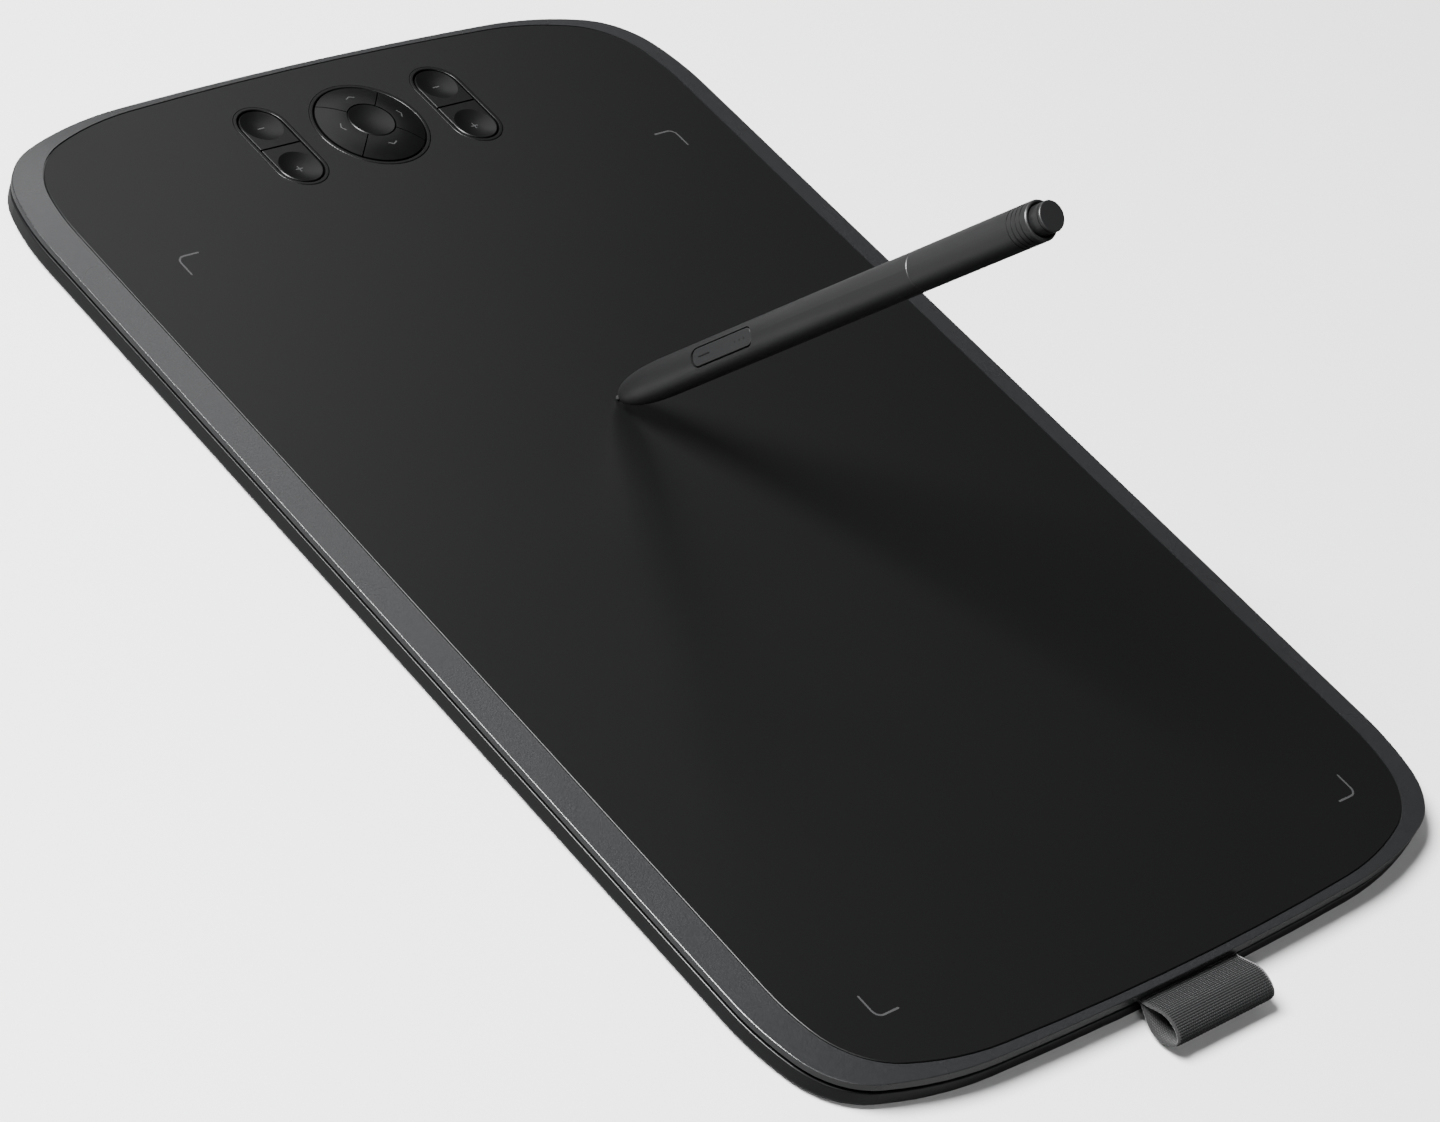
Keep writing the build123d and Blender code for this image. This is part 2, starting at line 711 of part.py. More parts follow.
bore = barrel_radius - barrel_wall
with BuildPart() as pen_front_barrel:
    with BuildSketch(pen_section):
        with BuildLine():
            Polyline((nose_bore, nose_bore_length), (nose_bore, nose_start), (nose_bore + 0.1, nose_start))
            Bezier(
                (nose_bore + 0.1, nose_start),
                (0.6 * grip_radius, nose_start + 1.6),
                (grip_radius, 0.34 * nose_length),
                (grip_radius, nose_length),
            )
            Polyline(
                (grip_radius, nose_length),
                (grip_radius, rocker_end + 4),
                (barrel_radius, seam_height - seam_gap),
                (barrel_radius - seam_gap, seam_height),
                (bore, seam_height),
                (bore, nose_length),
                (bore - 0.8, 9),
                (bore - 1.3, nose_bore_length + 0.7),
                (nose_bore, nose_bore_length),
            )
        make_face()
    revolve(axis=pen_axis)
    with BuildSketch(pen_side.offset(1.0)):
        add(button_outline(rocker_gap))
    extrude(amount=2 * grip_radius, mode=Mode.SUBTRACT)
save(pen_front_barrel, "pen_front_barrel")

with BuildPart() as pen_rear_barrel:
    with BuildSketch(pen_section):
        with BuildLine():
            Polyline(
                (bore, seam_height),
                (barrel_radius - seam_gap, seam_height),
                (barrel_radius, seam_height + seam_gap),
                (barrel_radius, barrel_end),
                (end_bore_radius, barrel_end),
                (end_bore_radius, barrel_end - end_bore_depth),
                (bore, barrel_end - end_bore_depth),
                close=True,
            )
        make_face()
        with Locations(*[(barrel_radius, h) for h in grip_rings]):
            Rectangle(2 * grip_ring_depth, grip_ring_width, mode=Mode.SUBTRACT)
    revolve(axis=pen_axis)
    end_edges = pen_rear_barrel.edges().filter_by(GeomType.CIRCLE).group_by(pen_axis)[-1]
    fillet(end_edges.sort_by(SortBy.RADIUS)[-1], end_rounding)
    end_edges = pen_rear_barrel.edges().filter_by(GeomType.CIRCLE).group_by(pen_axis)[-1]
    chamfer(end_edges.sort_by(SortBy.RADIUS)[0], end_chamfer)
save(pen_rear_barrel, "pen_rear_barrel")

coupler_radius = bore - touch
barrel_coupler = turned(
    [
        (coupler_radius - coupler_wall, seam_height - coupler_length / 2),
        (coupler_radius, seam_height - coupler_length / 2),
        (coupler_radius, seam_height + coupler_length / 2),
        (coupler_radius - coupler_wall, seam_height + coupler_length / 2),
    ]
)
save(barrel_coupler, "barrel_coupler")

with BuildPart() as pen_nib:
    with BuildSketch(pen_section):
        with BuildLine():
            Line((0, 0), (0, nib_length))
            Line((0, nib_length), (nib_radius, nib_length))
            Line((nib_radius, nib_length), (nib_radius, nib_radius))
            RadiusArc((nib_radius, nib_radius), (0, 0), nib_radius)
        make_face()
    revolve(axis=pen_axis)
save(pen_nib, "pen_nib")

holder_start = nib_length - 2
holder_end = nib_length + 4
nib_holder = turned(
    [
        (nib_radius, holder_start),
        (1.6, holder_start),
        (1.6, holder_end),
        (0, holder_end),
        (0, nib_length),
        (nib_radius, nib_length),
    ]
)
save(nib_holder, "nib_holder")

core_start = nose_bore_length + 2
core_end = core_start + 12
ferrite_core = turned([(0.8, core_start), (1.5, core_start), (1.5, core_end), (0.8, core_end)])
save(ferrite_core, "ferrite_core")

coil_span = (core_start + 1, core_end - 1)
antenna_coil = turned([(1.5, coil_span[0]), (2.1, coil_span[0]), (2.1, coil_span[1]), (1.5, coil_span[1])])
save(antenna_coil, "antenna_coil")

sensor_start = holder_end + nib_travel + slip
with BuildPart() as pressure_sensor:
    with BuildSketch(across(sensor_start)):
        Rectangle(1.9, 3.0, align=(Align.CENTER, Align.CENTER))
    extrude(amount=3.5)
save(pressure_sensor, "pressure_sensor")

board_low = chassis_low + chassis_thickness
board_high = board_low + pen_board_thickness
ear_height = (rocker_start + rocker_end) / 2
ear_width = 3.0

with BuildPart() as pen_chassis:
    with BuildSketch(across(chassis_span[0])):
        with Locations(((chassis_low + board_low) / 2, 0)):
            Rectangle(chassis_thickness, chassis_width)
    extrude(amount=chassis_span[1] - chassis_span[0])
    # clears the nib holder, and carries the ferrite core's end
    with BuildSketch(across(chassis_span[0])):
        Circle(1.6 + slip)
    extrude(amount=sensor_start - chassis_span[0], mode=Mode.SUBTRACT)
    # two ears hold the rocker's pin
    for side in (-1, 1):
        with BuildSketch(across(ear_height - ear_width / 2)):
            with Locations((board_low - touch, side * 1.85)):
                Rectangle(
                    rocker_pin_offset + 0.9 - board_low + touch,
                    0.7,
                    align=(Align.MIN, Align.CENTER),
                )
        extrude(amount=ear_width)
    with BuildSketch(Plane(across(ear_height).origin, x_dir=button_way, z_dir=button_way.cross(pen_line))):
        with Locations((rocker_pin_offset, 0)):
            Circle(rocker_pin_radius)
    extrude(amount=chassis_width, both=True, mode=Mode.SUBTRACT)
save(pen_chassis, "pen_chassis")

with BuildPart() as pen_board:
    with BuildSketch(across(sensor_start + 4)):
        with Locations(((board_low + board_high) / 2, 0)):
            Rectangle(pen_board_thickness, pen_board_width)
    extrude(amount=chassis_span[1] - sensor_start - 5)
    with BuildSketch(across(ear_height - ear_width / 2 - slip)):
        for side in (-1, 1):
            with Locations(((board_low + board_high) / 2, side * 2.0)):
                Rectangle(2 * pen_board_thickness, 1.2)
    extrude(amount=ear_width + 2 * slip, mode=Mode.SUBTRACT)
save(pen_board, "pen_board")

leg_tip = 2.2
switch_press_gap = 0.3
side_press_heights = (ear_height - rocker_leg_offset, ear_height + rocker_leg_offset)
with BuildPart() as side_switches:
    for h in side_press_heights:
        with BuildSketch(across(h - 1.5)):
            with Locations((board_high, 0)):
                Rectangle(1.4, 3.0, align=(Align.MIN, Align.CENTER))
        extrude(amount=3.0)
        with BuildSketch(across(h - 0.7)):
            with Locations((board_high + 1.4, 0)):
                Rectangle(
                    leg_tip - switch_press_gap - board_high - 1.4,
                    1.4,
                    align=(Align.MIN, Align.CENTER),
                )
        extrude(amount=1.4)
save(side_switches, "side_switches")

with BuildPart() as side_rocker:
    with BuildSketch(pen_side.offset(rocker_flat - rocker_thickness)):
        add(button_outline())
    extrude(amount=rocker_thickness)
    fillet(side_rocker.faces().sort_by(Axis(pen_foot, button_way))[-1].edges(), 0.2)
    for h in side_press_heights:
        with BuildSketch(across(h - 0.8)):
            with Locations((leg_tip, 0)):
                Rectangle(
                    rocker_flat - rocker_thickness - leg_tip + touch,
                    1.6,
                    align=(Align.MIN, Align.CENTER),
                )
        extrude(amount=1.6)
    with BuildSketch(across(ear_height - 1.1)):
        with Locations((rocker_pin_offset - 0.9, 0)):
            Rectangle(
                rocker_flat - rocker_thickness - rocker_pin_offset + 0.9 + touch,
                2.4,
                align=(Align.MIN, Align.CENTER),
            )
    extrude(amount=2.2)
    with BuildSketch(Plane(across(ear_height).origin, x_dir=button_way, z_dir=button_way.cross(pen_line))):
        with Locations((rocker_pin_offset, 0)):
            Circle(rocker_pin_radius + touch)
    extrude(amount=chassis_width, both=True, mode=Mode.SUBTRACT)
save(side_rocker, "side_rocker")

with BuildPart() as rocker_pin:
    with BuildSketch(Plane(across(ear_height).origin, x_dir=button_way, z_dir=button_way.cross(pen_line))):
        with Locations((rocker_pin_offset, 0)):
            Circle(rocker_pin_radius)
    extrude(amount=2.2, both=True)
save(rocker_pin, "rocker_pin")

tail_flange_start = barrel_end - end_bore_depth + 2 * tail_travel
tail_stem_start = tail_flange_start - 2.5
with BuildPart() as tail_button:
    with BuildSketch(pen_section):
        with BuildLine():
            Polyline(
                (0, pen_length),
                (0, tail_stem_start),
                (tail_stem_radius, tail_stem_start),
                (tail_stem_radius, tail_flange_start),
                (tail_neck_radius, tail_flange_start),
                (tail_neck_radius, tail_groove[0]),
                (tail_groove_radius, tail_groove[0]),
                (tail_groove_radius, tail_groove[1]),
                (tail_head_radius, tail_groove[1]),
                (tail_head_radius, pen_length),
                close=True,
            )
        make_face()
    revolve(axis=pen_axis)
    head_edges = tail_button.edges().filter_by(GeomType.CIRCLE).group_by(pen_axis)[-1]
    fillet(head_edges, tail_head_rounding)
save(tail_button, "tail_button")

tail_switch_top = tail_stem_start - tail_travel - slip
tail_switch_holder = turned(
    [
        (0, tail_switch_top - 6.0),
        (bore - touch, tail_switch_top - 6.0),
        (bore - touch, tail_switch_top - 2.0),
        (1.8, tail_switch_top - 2.0),
        (1.8, tail_switch_top - 0.6),
        (1.0, tail_switch_top - 0.6),
        (1.0, tail_switch_top),
        (0, tail_switch_top),
    ]
)
save(tail_switch_holder, "tail_switch_holder")
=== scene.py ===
import json
import math
import bpy
import bmesh
import numpy as np
from mathutils import Matrix, Vector
from mathutils.bvhtree import BVHTree


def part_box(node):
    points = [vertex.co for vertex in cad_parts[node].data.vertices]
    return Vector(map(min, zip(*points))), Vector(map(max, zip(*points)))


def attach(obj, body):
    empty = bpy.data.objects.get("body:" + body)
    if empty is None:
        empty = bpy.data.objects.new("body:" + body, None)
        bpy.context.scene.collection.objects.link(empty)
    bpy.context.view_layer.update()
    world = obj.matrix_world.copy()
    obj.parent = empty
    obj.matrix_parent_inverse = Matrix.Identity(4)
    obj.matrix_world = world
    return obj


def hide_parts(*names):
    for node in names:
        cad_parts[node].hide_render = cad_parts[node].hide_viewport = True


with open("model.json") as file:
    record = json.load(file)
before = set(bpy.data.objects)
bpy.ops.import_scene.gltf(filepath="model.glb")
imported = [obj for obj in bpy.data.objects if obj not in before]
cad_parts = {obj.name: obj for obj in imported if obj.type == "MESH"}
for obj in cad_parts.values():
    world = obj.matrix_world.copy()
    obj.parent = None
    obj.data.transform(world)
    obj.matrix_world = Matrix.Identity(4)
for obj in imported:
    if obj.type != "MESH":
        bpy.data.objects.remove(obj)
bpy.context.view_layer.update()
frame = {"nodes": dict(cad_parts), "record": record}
mm = 0.001
nodes = frame["nodes"]
record = frame["record"]
print("stage: frame loaded")

# ------------------------------------------------------------------ camera and light
# The camera stands off the loop's corner, and its columns are right, up and back.
cameraSettings = {
    "place": (0.433085, -0.63432, 0.60197),
    "right": (0.62418, 0.71847, 0.30691),
    "up": (-0.64638, 0.25423, 0.71942),
    "back": (0.43886, -0.64743, 0.62309),
    "lens": 104.49,
    "sensor": 36.0,
}
lightSettings = {
    "sky": {"colour": (0.97, 0.98, 1.0), "strength": 0.05},
    "key": {"place": (-0.45, -1.0, 1.45), "aim": (-0.05, 0.0, 0.0), "size": 0.8, "power": 150.0},
    "window": {"place": (-0.95, 0.35, 0.8), "aim": (-0.15, 0.0, 0.0), "size": 0.85, "power": 2.7},
    "front": {"place": (1.2, -1.0, 1.2), "aim": (0.1, 0.0, 0.0), "size": 0.8, "power": 8.0},
}


def setCamera(settings):
    data = bpy.data.cameras.new("view")
    data.lens = settings["lens"]
    data.sensor_width = settings["sensor"]
    data.clip_start = 0.05
    camera = bpy.data.objects.new("view", data)
    columns = (settings["right"], settings["up"], settings["back"])
    camera.matrix_world = Matrix.Translation(settings["place"]) @ Matrix(columns).transposed().to_4x4()
    bpy.context.collection.objects.link(camera)
    bpy.context.scene.camera = camera


def areaLight(name, settings):
    data = bpy.data.lights.new(name, "AREA")
    data.shape = "DISK"
    data.size = settings["size"]
    data.energy = settings["power"]
    lamp = bpy.data.objects.new(name, data)
    lamp.location = settings["place"]
    way = Vector(settings["aim"]) - Vector(settings["place"])
    lamp.rotation_euler = way.to_track_quat("-Z", "Y").to_euler()
    bpy.context.collection.objects.link(lamp)


def setSky(settings):
    world = bpy.data.worlds.new("studio")
    world.use_nodes = True
    background = world.node_tree.nodes["Background"]
    background.inputs["Color"].default_value = (*settings["colour"], 1)
    background.inputs["Strength"].default_value = settings["strength"]
    bpy.context.scene.world = world


setCamera(cameraSettings)
setSky(lightSettings["sky"])
for lightName in ("key", "window", "front"):
    areaLight(lightName, lightSettings[lightName])
print("stage: camera and light")

# ------------------------------------------------------------------ shader parts
def addNode(tree, kind, sockets=None, **settings):
    node = tree.nodes.new(kind)
    for name, value in settings.items():
        setattr(node, name, value)
    for name, value in (sockets or {}).items():
        if isinstance(value, bpy.types.NodeSocket):
            tree.links.new(value, node.inputs[name])
        else:
            node.inputs[name].default_value = value
    return node


def shaderGroup(name, inputs, outputs):
    tree = bpy.data.node_groups.new(name, "ShaderNodeTree")
    for label, kind, value in inputs:
        socket = tree.interface.new_socket(name=label, in_out="INPUT", socket_type=kind)
        if value is not None:
            socket.default_value = value
    for label in outputs:
        tree.interface.new_socket(name=label, in_out="OUTPUT", socket_type="NodeSocketFloat")
    start = tree.nodes.new("NodeGroupInput").outputs
    end = tree.nodes.new("NodeGroupOutput").inputs
    return tree, start, end


def scaledBy(tree, vector, size):
    inverse = addNode(tree, "ShaderNodeMath", {0: 1.0, 1: size}, operation="DIVIDE").outputs[0]
    return addNode(tree, "ShaderNodeVectorMath", {0: vector, "Scale": inverse}, operation="SCALE").outputs[0]


# Moulded pebble grain: rounded cells with finer noise on them, and paler specks painted where a cell would
# catch light: a painted highlight.
def makeGrain():
    sockets = [("Vector", "NodeSocketVector", None), ("Size", "NodeSocketFloat", 0.0005)]
    tree, start, end = shaderGroup("mouldGrain", sockets, ["Height", "PaintedGlint"])
    place = scaledBy(tree, start["Vector"], start["Size"])
    cells = addNode(tree, "ShaderNodeTexVoronoi", {"Vector": place, "Scale": 1.0}, feature="SMOOTH_F1")
    fine = addNode(tree, "ShaderNodeTexNoise", {"Vector": place, "Scale": 2.3, "Detail": 2.0})
    raised = {0: cells.outputs["Distance"], 1: -0.8, 2: fine.outputs["Fac"]}
    height = addNode(tree, "ShaderNodeMath", raised, operation="MULTIPLY_ADD")
    tree.links.new(height.outputs[0], end["Height"])
    spread = {"Value": fine.outputs["Fac"], "From Min": 0.42, "From Max": 0.72}
    glintMask = addNode(tree, "ShaderNodeMapRange", spread, interpolation_type="SMOOTHSTEP")
    tree.links.new(glintMask.outputs[0], end["PaintedGlint"])
    return tree


# Slow patches, for handling marks in the gloss and for uneven colour.
def makeCloud():
    sockets = [("Vector", "NodeSocketVector", None), ("Size", "NodeSocketFloat", 0.05)]
    tree, start, end = shaderGroup("cloud", sockets, ["Cloud"])
    place = scaledBy(tree, start["Vector"], start["Size"])
    noise = {"Vector": place, "Scale": 1.0, "Detail": 3.0, "Roughness": 0.55, "Distortion": 0.4}
    patches = addNode(tree, "ShaderNodeTexNoise", noise)
    spread = {"Value": patches.outputs["Fac"], "From Min": 0.3, "From Max": 0.7}
    cloud = addNode(tree, "ShaderNodeMapRange", spread, interpolation_type="SMOOTHSTEP")
    tree.links.new(cloud.outputs[0], end["Cloud"])
    return tree


# Mask that is 1 along sharp edges. Plastics are painted paler there: partly handling wear that polishes a
# moulding, partly a painted highlight along the edge.
def makeEdge():
    tree, start, end = shaderGroup("edgeMask", [("Radius", "NodeSocketFloat", 0.0003)], ["Edge"])
    soft = addNode(tree, "ShaderNodeBevel", {"Radius": start["Radius"]}, samples=4)
    true = addNode(tree, "ShaderNodeNewGeometry")
    normals = {0: soft.outputs[0], 1: true.outputs["Normal"]}
    cosine = addNode(tree, "ShaderNodeVectorMath", normals, operation="DOT_PRODUCT")
    spread = {"Value": cosine.outputs["Value"], "From Min": 0.995, "From Max": 0.9}
    mask = addNode(tree, "ShaderNodeMapRange", spread)
    tree.links.new(mask.outputs[0], end["Edge"])
    return tree


# Woven face: ribs run one way, and the binding thread shows as dots between them.
def makeWeave():
    sockets = [("Vector", "NodeSocketVector", None), ("Size", "NodeSocketFloat", 0.0005)]
    tree, start, end = shaderGroup("weave", sockets, ["Height", "Dot"])
    place = scaledBy(tree, start["Vector"], start["Size"])
    parts = addNode(tree, "ShaderNodeSeparateXYZ", {0: place})
    turn = 2 * math.pi
    waves = []
    for axis, rate in (("X", turn), ("Y", turn / 2)):
        angle = addNode(tree, "ShaderNodeMath", {0: parts.outputs[axis], 1: rate}, operation="MULTIPLY")
        waves.append(addNode(tree, "ShaderNodeMath", {0: angle.outputs[0]}, operation="SINE").outputs[0])
    over = addNode(tree, "ShaderNodeMath", {0: waves[0], 1: waves[1]}, operation="MULTIPLY").outputs[0]
    fuzz = addNode(tree, "ShaderNodeTexNoise", {"Vector": place, "Scale": 3.0, "Detail": 3.0})
    raised = {0: over, 1: 0.6, 2: fuzz.outputs["Fac"]}
    height = addNode(tree, "ShaderNodeMath", raised, operation="MULTIPLY_ADD")
    tree.links.new(height.outputs[0], end["Height"])
    dots = addNode(tree, "ShaderNodeMapRange", {"Value": over, "From Min": 0.2, "From Max": 0.9})
    tree.links.new(dots.outputs[0], end["Dot"])
    return tree


shaderParts = {"grain": makeGrain(), "cloud": makeCloud(), "edge": makeEdge(), "weave": makeWeave()}


def usePart(tree, name, sockets):
    node = addNode(tree, "ShaderNodeGroup", node_tree=shaderParts[name])
    for label, value in sockets.items():
        if isinstance(value, bpy.types.NodeSocket):
            tree.links.new(value, node.inputs[label])
        else:
            node.inputs[label].default_value = value
    return node.outputs


def mixColour(tree, amount, first, second):
    mix = addNode(tree, "ShaderNodeMix", data_type="RGBA")
    for index, value in ((0, amount), (6, first), (7, second)):
        if isinstance(value, bpy.types.NodeSocket):
            tree.links.new(value, mix.inputs[index])
        else:
            mix.inputs[index].default_value = value
    return mix.outputs[2]


def newMaterial(name):
    material = bpy.data.materials.new(name)
    material.use_nodes = True
    return material, material.node_tree, material.node_tree.nodes["Principled BSDF"]


def rgb(colour, gain=1.0):
    return (colour[0] * gain, colour[1] * gain, colour[2] * gain, 1)


# ------------------------------------------------------------------ materials
# Sizes are in metres. grain is the cell size, relief the grain's depth, patch the size of the slow
# patches, lift how much paler the painted highlight specks are, and polish what a patch takes off the
# roughness.
plasticLooks = {
    "film_black": {"colour": (0.0016, 0.00165, 0.00175), "rough": 0.43, "grain": 0.00022, "relief": 0.000008,
                   "patch": 0.09, "lift": 1.25, "polish": 0.02, "gloss": 0.42},
    "case_grey": {"colour": (0.0105, 0.0108, 0.0114), "rough": 0.3, "grain": 0.00042, "relief": 0.00003,
                  "patch": 0.05, "lift": 2.2, "polish": 0.05, "gloss": 0.85},
    "case_dark": {"colour": (0.0045, 0.0046, 0.0049), "rough": 0.34, "grain": 0.00036, "relief": 0.00001,
                  "patch": 0.06, "lift": 1.3, "polish": 0.05, "gloss": 0.3},
    "key_black": {"colour": (0.0012, 0.00124, 0.0013), "rough": 0.38, "grain": 0.0002, "relief": 0.000005,
                  "patch": 0.008, "lift": 1.3, "polish": 0.05, "gloss": 0.32},
    "pen_plastic": {"colour": (0.008, 0.0081, 0.0084), "rough": 0.42, "grain": 0.00018, "relief": 0.000004,
                    "patch": 0.02, "lift": 1.3, "polish": 0.05, "gloss": 0.6},
    "button_grey": {"colour": (0.011, 0.0112, 0.0116), "rough": 0.46, "grain": 0.00018, "relief": 0.000004,
                    "patch": 0.01, "lift": 1.3, "polish": 0.04, "gloss": 0.5},
    "nib_plastic": {"colour": (0.025, 0.025, 0.026), "rough": 0.45, "grain": 0.0002, "relief": 0.000003,
                    "patch": 0.004, "lift": 1.2, "polish": 0.05, "gloss": 0.5},
    "dark_plastic": {"colour": (0.02, 0.02, 0.021), "rough": 0.45, "grain": 0.0003, "relief": 0.000008,
                     "patch": 0.01, "lift": 1.4, "polish": 0.05, "gloss": 0.4},
    "rubber_black": {"colour": (0.03, 0.03, 0.031), "rough": 0.75, "grain": 0.0006, "relief": 0.00002,
                     "patch": 0.012, "lift": 1.7, "polish": -0.1, "gloss": 0.3},
    "print_grey": {"colour": (0.03, 0.03, 0.031), "rough": 0.55, "grain": 0.00015, "relief": 0.000004,
                   "patch": 0.003, "lift": 1.3, "polish": 0.04, "gloss": 0.4},
    "print_dark": {"colour": (0.004, 0.004, 0.0042), "rough": 0.3, "grain": 0.00015, "relief": 0.000003,
                   "patch": 0.003, "lift": 1.3, "polish": 0.04, "gloss": 0.5},
}


def plasticMaterial(name, look):
    material, tree, shader = newMaterial(name)
    place = addNode(tree, "ShaderNodeTexCoord").outputs["Object"]
    grain = usePart(tree, "grain", {"Vector": place, "Size": look["grain"]})
    cloud = usePart(tree, "cloud", {"Vector": place, "Size": look["patch"]})["Cloud"]
    edge = usePart(tree, "edge", {"Radius": 0.00025})["Edge"]
    base = mixColour(tree, cloud, rgb(look["colour"], 0.9), rgb(look["colour"], 1.1))
    # The grain's high points are painted paler here: painted highlight specks.
    withPaintedGlints = mixColour(tree, grain["PaintedGlint"], base, rgb(look["colour"], look["lift"]))
    # Sharp edges are painted paler: partly wear, partly a painted highlight line.
    wornAndHighlitEdge = mixColour(tree, edge, withPaintedGlints, rgb(look["colour"], 1.6))
    tree.links.new(wornAndHighlitEdge, shader.inputs["Base Color"])
    gloss = {"Value": cloud, "To Min": look["rough"], "To Max": look["rough"] - look["polish"]}
    rough = addNode(tree, "ShaderNodeMapRange", gloss)
    tree.links.new(rough.outputs[0], shader.inputs["Roughness"])
    bump = addNode(tree, "ShaderNodeBump", {"Height": grain["Height"], "Distance": look["relief"]})
    tree.links.new(bump.outputs[0], shader.inputs["Normal"])
    shader.inputs["Specular IOR Level"].default_value = look["gloss"]
    return material


def steelMaterial(name):
    material, tree, shader = newMaterial(name)
    place = addNode(tree, "ShaderNodeTexCoord").outputs["Object"]
    drawn = addNode(tree, "ShaderNodeMapping", {"Vector": place, "Scale": (1, 14, 14)}).outputs[0]
    streaks = {"Vector": drawn, "Scale": 900.0, "Detail": 4.0}
    lines = addNode(tree, "ShaderNodeTexNoise", streaks).outputs["Fac"]
    cloud = usePart(tree, "cloud", {"Vector": place, "Size": 0.006})["Cloud"]
    tone = mixColour(tree, cloud, rgb((0.52, 0.52, 0.53)), rgb((0.66, 0.66, 0.65)))
    tree.links.new(tone, shader.inputs["Base Color"])
    rough = addNode(tree, "ShaderNodeMapRange", {"Value": lines, "To Min": 0.22, "To Max": 0.4})
    tree.links.new(rough.outputs[0], shader.inputs["Roughness"])
    bump = addNode(tree, "ShaderNodeBump", {"Height": lines, "Distance": 0.000004})
    tree.links.new(bump.outputs[0], shader.inputs["Normal"])
    shader.inputs["Metallic"].default_value = 1.0
    return material


# Green resist with copper tracks showing through as paler lines, and tinned spots.
def boardMaterial(name):
    material, tree, shader = newMaterial(name)
    place = addNode(tree, "ShaderNodeTexCoord").outputs["Object"]
    tracks = addNode(tree, "ShaderNodeTexBrick", {"Vector": place, "Scale": 420.0, "Mortar Size": 0.035})
    tracks.offset = 0.35
    spots = addNode(tree, "ShaderNodeTexVoronoi", {"Vector": place, "Scale": 380.0}, feature="F1")
    spread = {"Value": spots.outputs["Distance"], "From Min": 0.13, "From Max": 0.1}
    tin = addNode(tree, "ShaderNodeMapRange", spread).outputs[0]
    cloud = usePart(tree, "cloud", {"Vector": place, "Size": 0.02})["Cloud"]
    resist = mixColour(tree, cloud, rgb((0.008, 0.055, 0.022)), rgb((0.012, 0.07, 0.03)))
    tracked = mixColour(tree, tracks.outputs["Fac"], resist, rgb((0.03, 0.12, 0.05)))
    tinned = mixColour(tree, tin, tracked, rgb((0.6, 0.6, 0.58)))
    tree.links.new(tinned, shader.inputs["Base Color"])
    tree.links.new(tin, shader.inputs["Metallic"])
    bump = addNode(tree, "ShaderNodeBump", {"Height": tracks.outputs["Fac"], "Distance": 0.00003})
    tree.links.new(bump.outputs[0], shader.inputs["Normal"])
    shader.inputs["Roughness"].default_value = 0.32
    return material


def copperMaterial(name, dark, bright):
    material, tree, shader = newMaterial(name)
    place = addNode(tree, "ShaderNodeTexCoord").outputs["Object"]
    cloud = usePart(tree, "cloud", {"Vector": place, "Size": 0.003})["Cloud"]
    grain = usePart(tree, "grain", {"Vector": place, "Size": 0.0002})
    tone = mixColour(tree, cloud, rgb(dark), rgb(bright))
    tree.links.new(tone, shader.inputs["Base Color"])
    bump = addNode(tree, "ShaderNodeBump", {"Height": grain["Height"], "Distance": 0.000004})
    tree.links.new(bump.outputs[0], shader.inputs["Normal"])
    shader.inputs["Metallic"].default_value = 1.0
    shader.inputs["Roughness"].default_value = 0.28
    return material


# Amber film with darker conductors along it.
def ribbonMaterial(name):
    material, tree, shader = newMaterial(name)
    place = addNode(tree, "ShaderNodeTexCoord").outputs["Object"]
    bands = addNode(tree, "ShaderNodeTexWave", {"Vector": place, "Scale": 160.0}, bands_direction="Y")
    cloud = usePart(tree, "cloud", {"Vector": place, "Size": 0.004})["Cloud"]
    amber = mixColour(tree, cloud, rgb((0.5, 0.2, 0.03)), rgb((0.62, 0.27, 0.05)))
    tone = mixColour(tree, bands.outputs["Fac"], amber, rgb((0.3, 0.1, 0.02)))
    tree.links.new(tone, shader.inputs["Base Color"])
    bump = addNode(tree, "ShaderNodeBump", {"Height": bands.outputs["Fac"], "Distance": 0.00002})
    tree.links.new(bump.outputs[0], shader.inputs["Normal"])
    shader.inputs["Roughness"].default_value = 0.25
    return material


def foamMaterial(name):
    material, tree, shader = newMaterial(name)
    place = addNode(tree, "ShaderNodeTexCoord").outputs["Object"]
    pores = addNode(tree, "ShaderNodeTexVoronoi", {"Vector": place, "Scale": 1800.0}).outputs["Distance"]
    cloud = usePart(tree, "cloud", {"Vector": place, "Size": 0.01})["Cloud"]
    skin = mixColour(tree, cloud, rgb((0.03, 0.03, 0.032)), rgb((0.045, 0.045, 0.047)))
    # The pores are painted near black: painted shade inside the foam's holes.
    tone = mixColour(tree, pores, rgb((0.008, 0.008, 0.008)), skin)
    tree.links.new(tone, shader.inputs["Base Color"])
    bump = addNode(tree, "ShaderNodeBump", {"Height": pores, "Distance": 0.0002})
    tree.links.new(bump.outputs[0], shader.inputs["Normal"])
    shader.inputs["Roughness"].default_value = 0.9
    return material


# The strap's map runs across it in U and along it in V, both in metres.
def fabricMaterial(name, look):
    material, tree, shader = newMaterial(name)
    place = addNode(tree, "ShaderNodeUVMap", uv_map=look["map"]).outputs[0]
    weave = usePart(tree, "weave", {"Vector": place, "Size": look["pitch"]})
    cloud = usePart(tree, "cloud", {"Vector": place, "Size": look["patch"]})["Cloud"]
    thread = mixColour(tree, cloud, rgb(look["colour"], 0.85), rgb(look["colour"], 1.15))
    tone = mixColour(tree, weave["Dot"], thread, rgb(look["colour"], look["lift"]))
    tree.links.new(tone, shader.inputs["Base Color"])
    bump = addNode(tree, "ShaderNodeBump", {"Height": weave["Height"], "Distance": look["relief"]})
    tree.links.new(bump.outputs[0], shader.inputs["Normal"])
    shader.inputs["Roughness"].default_value = 0.8
    shader.inputs["Sheen Weight"].default_value = 0.25
    return material


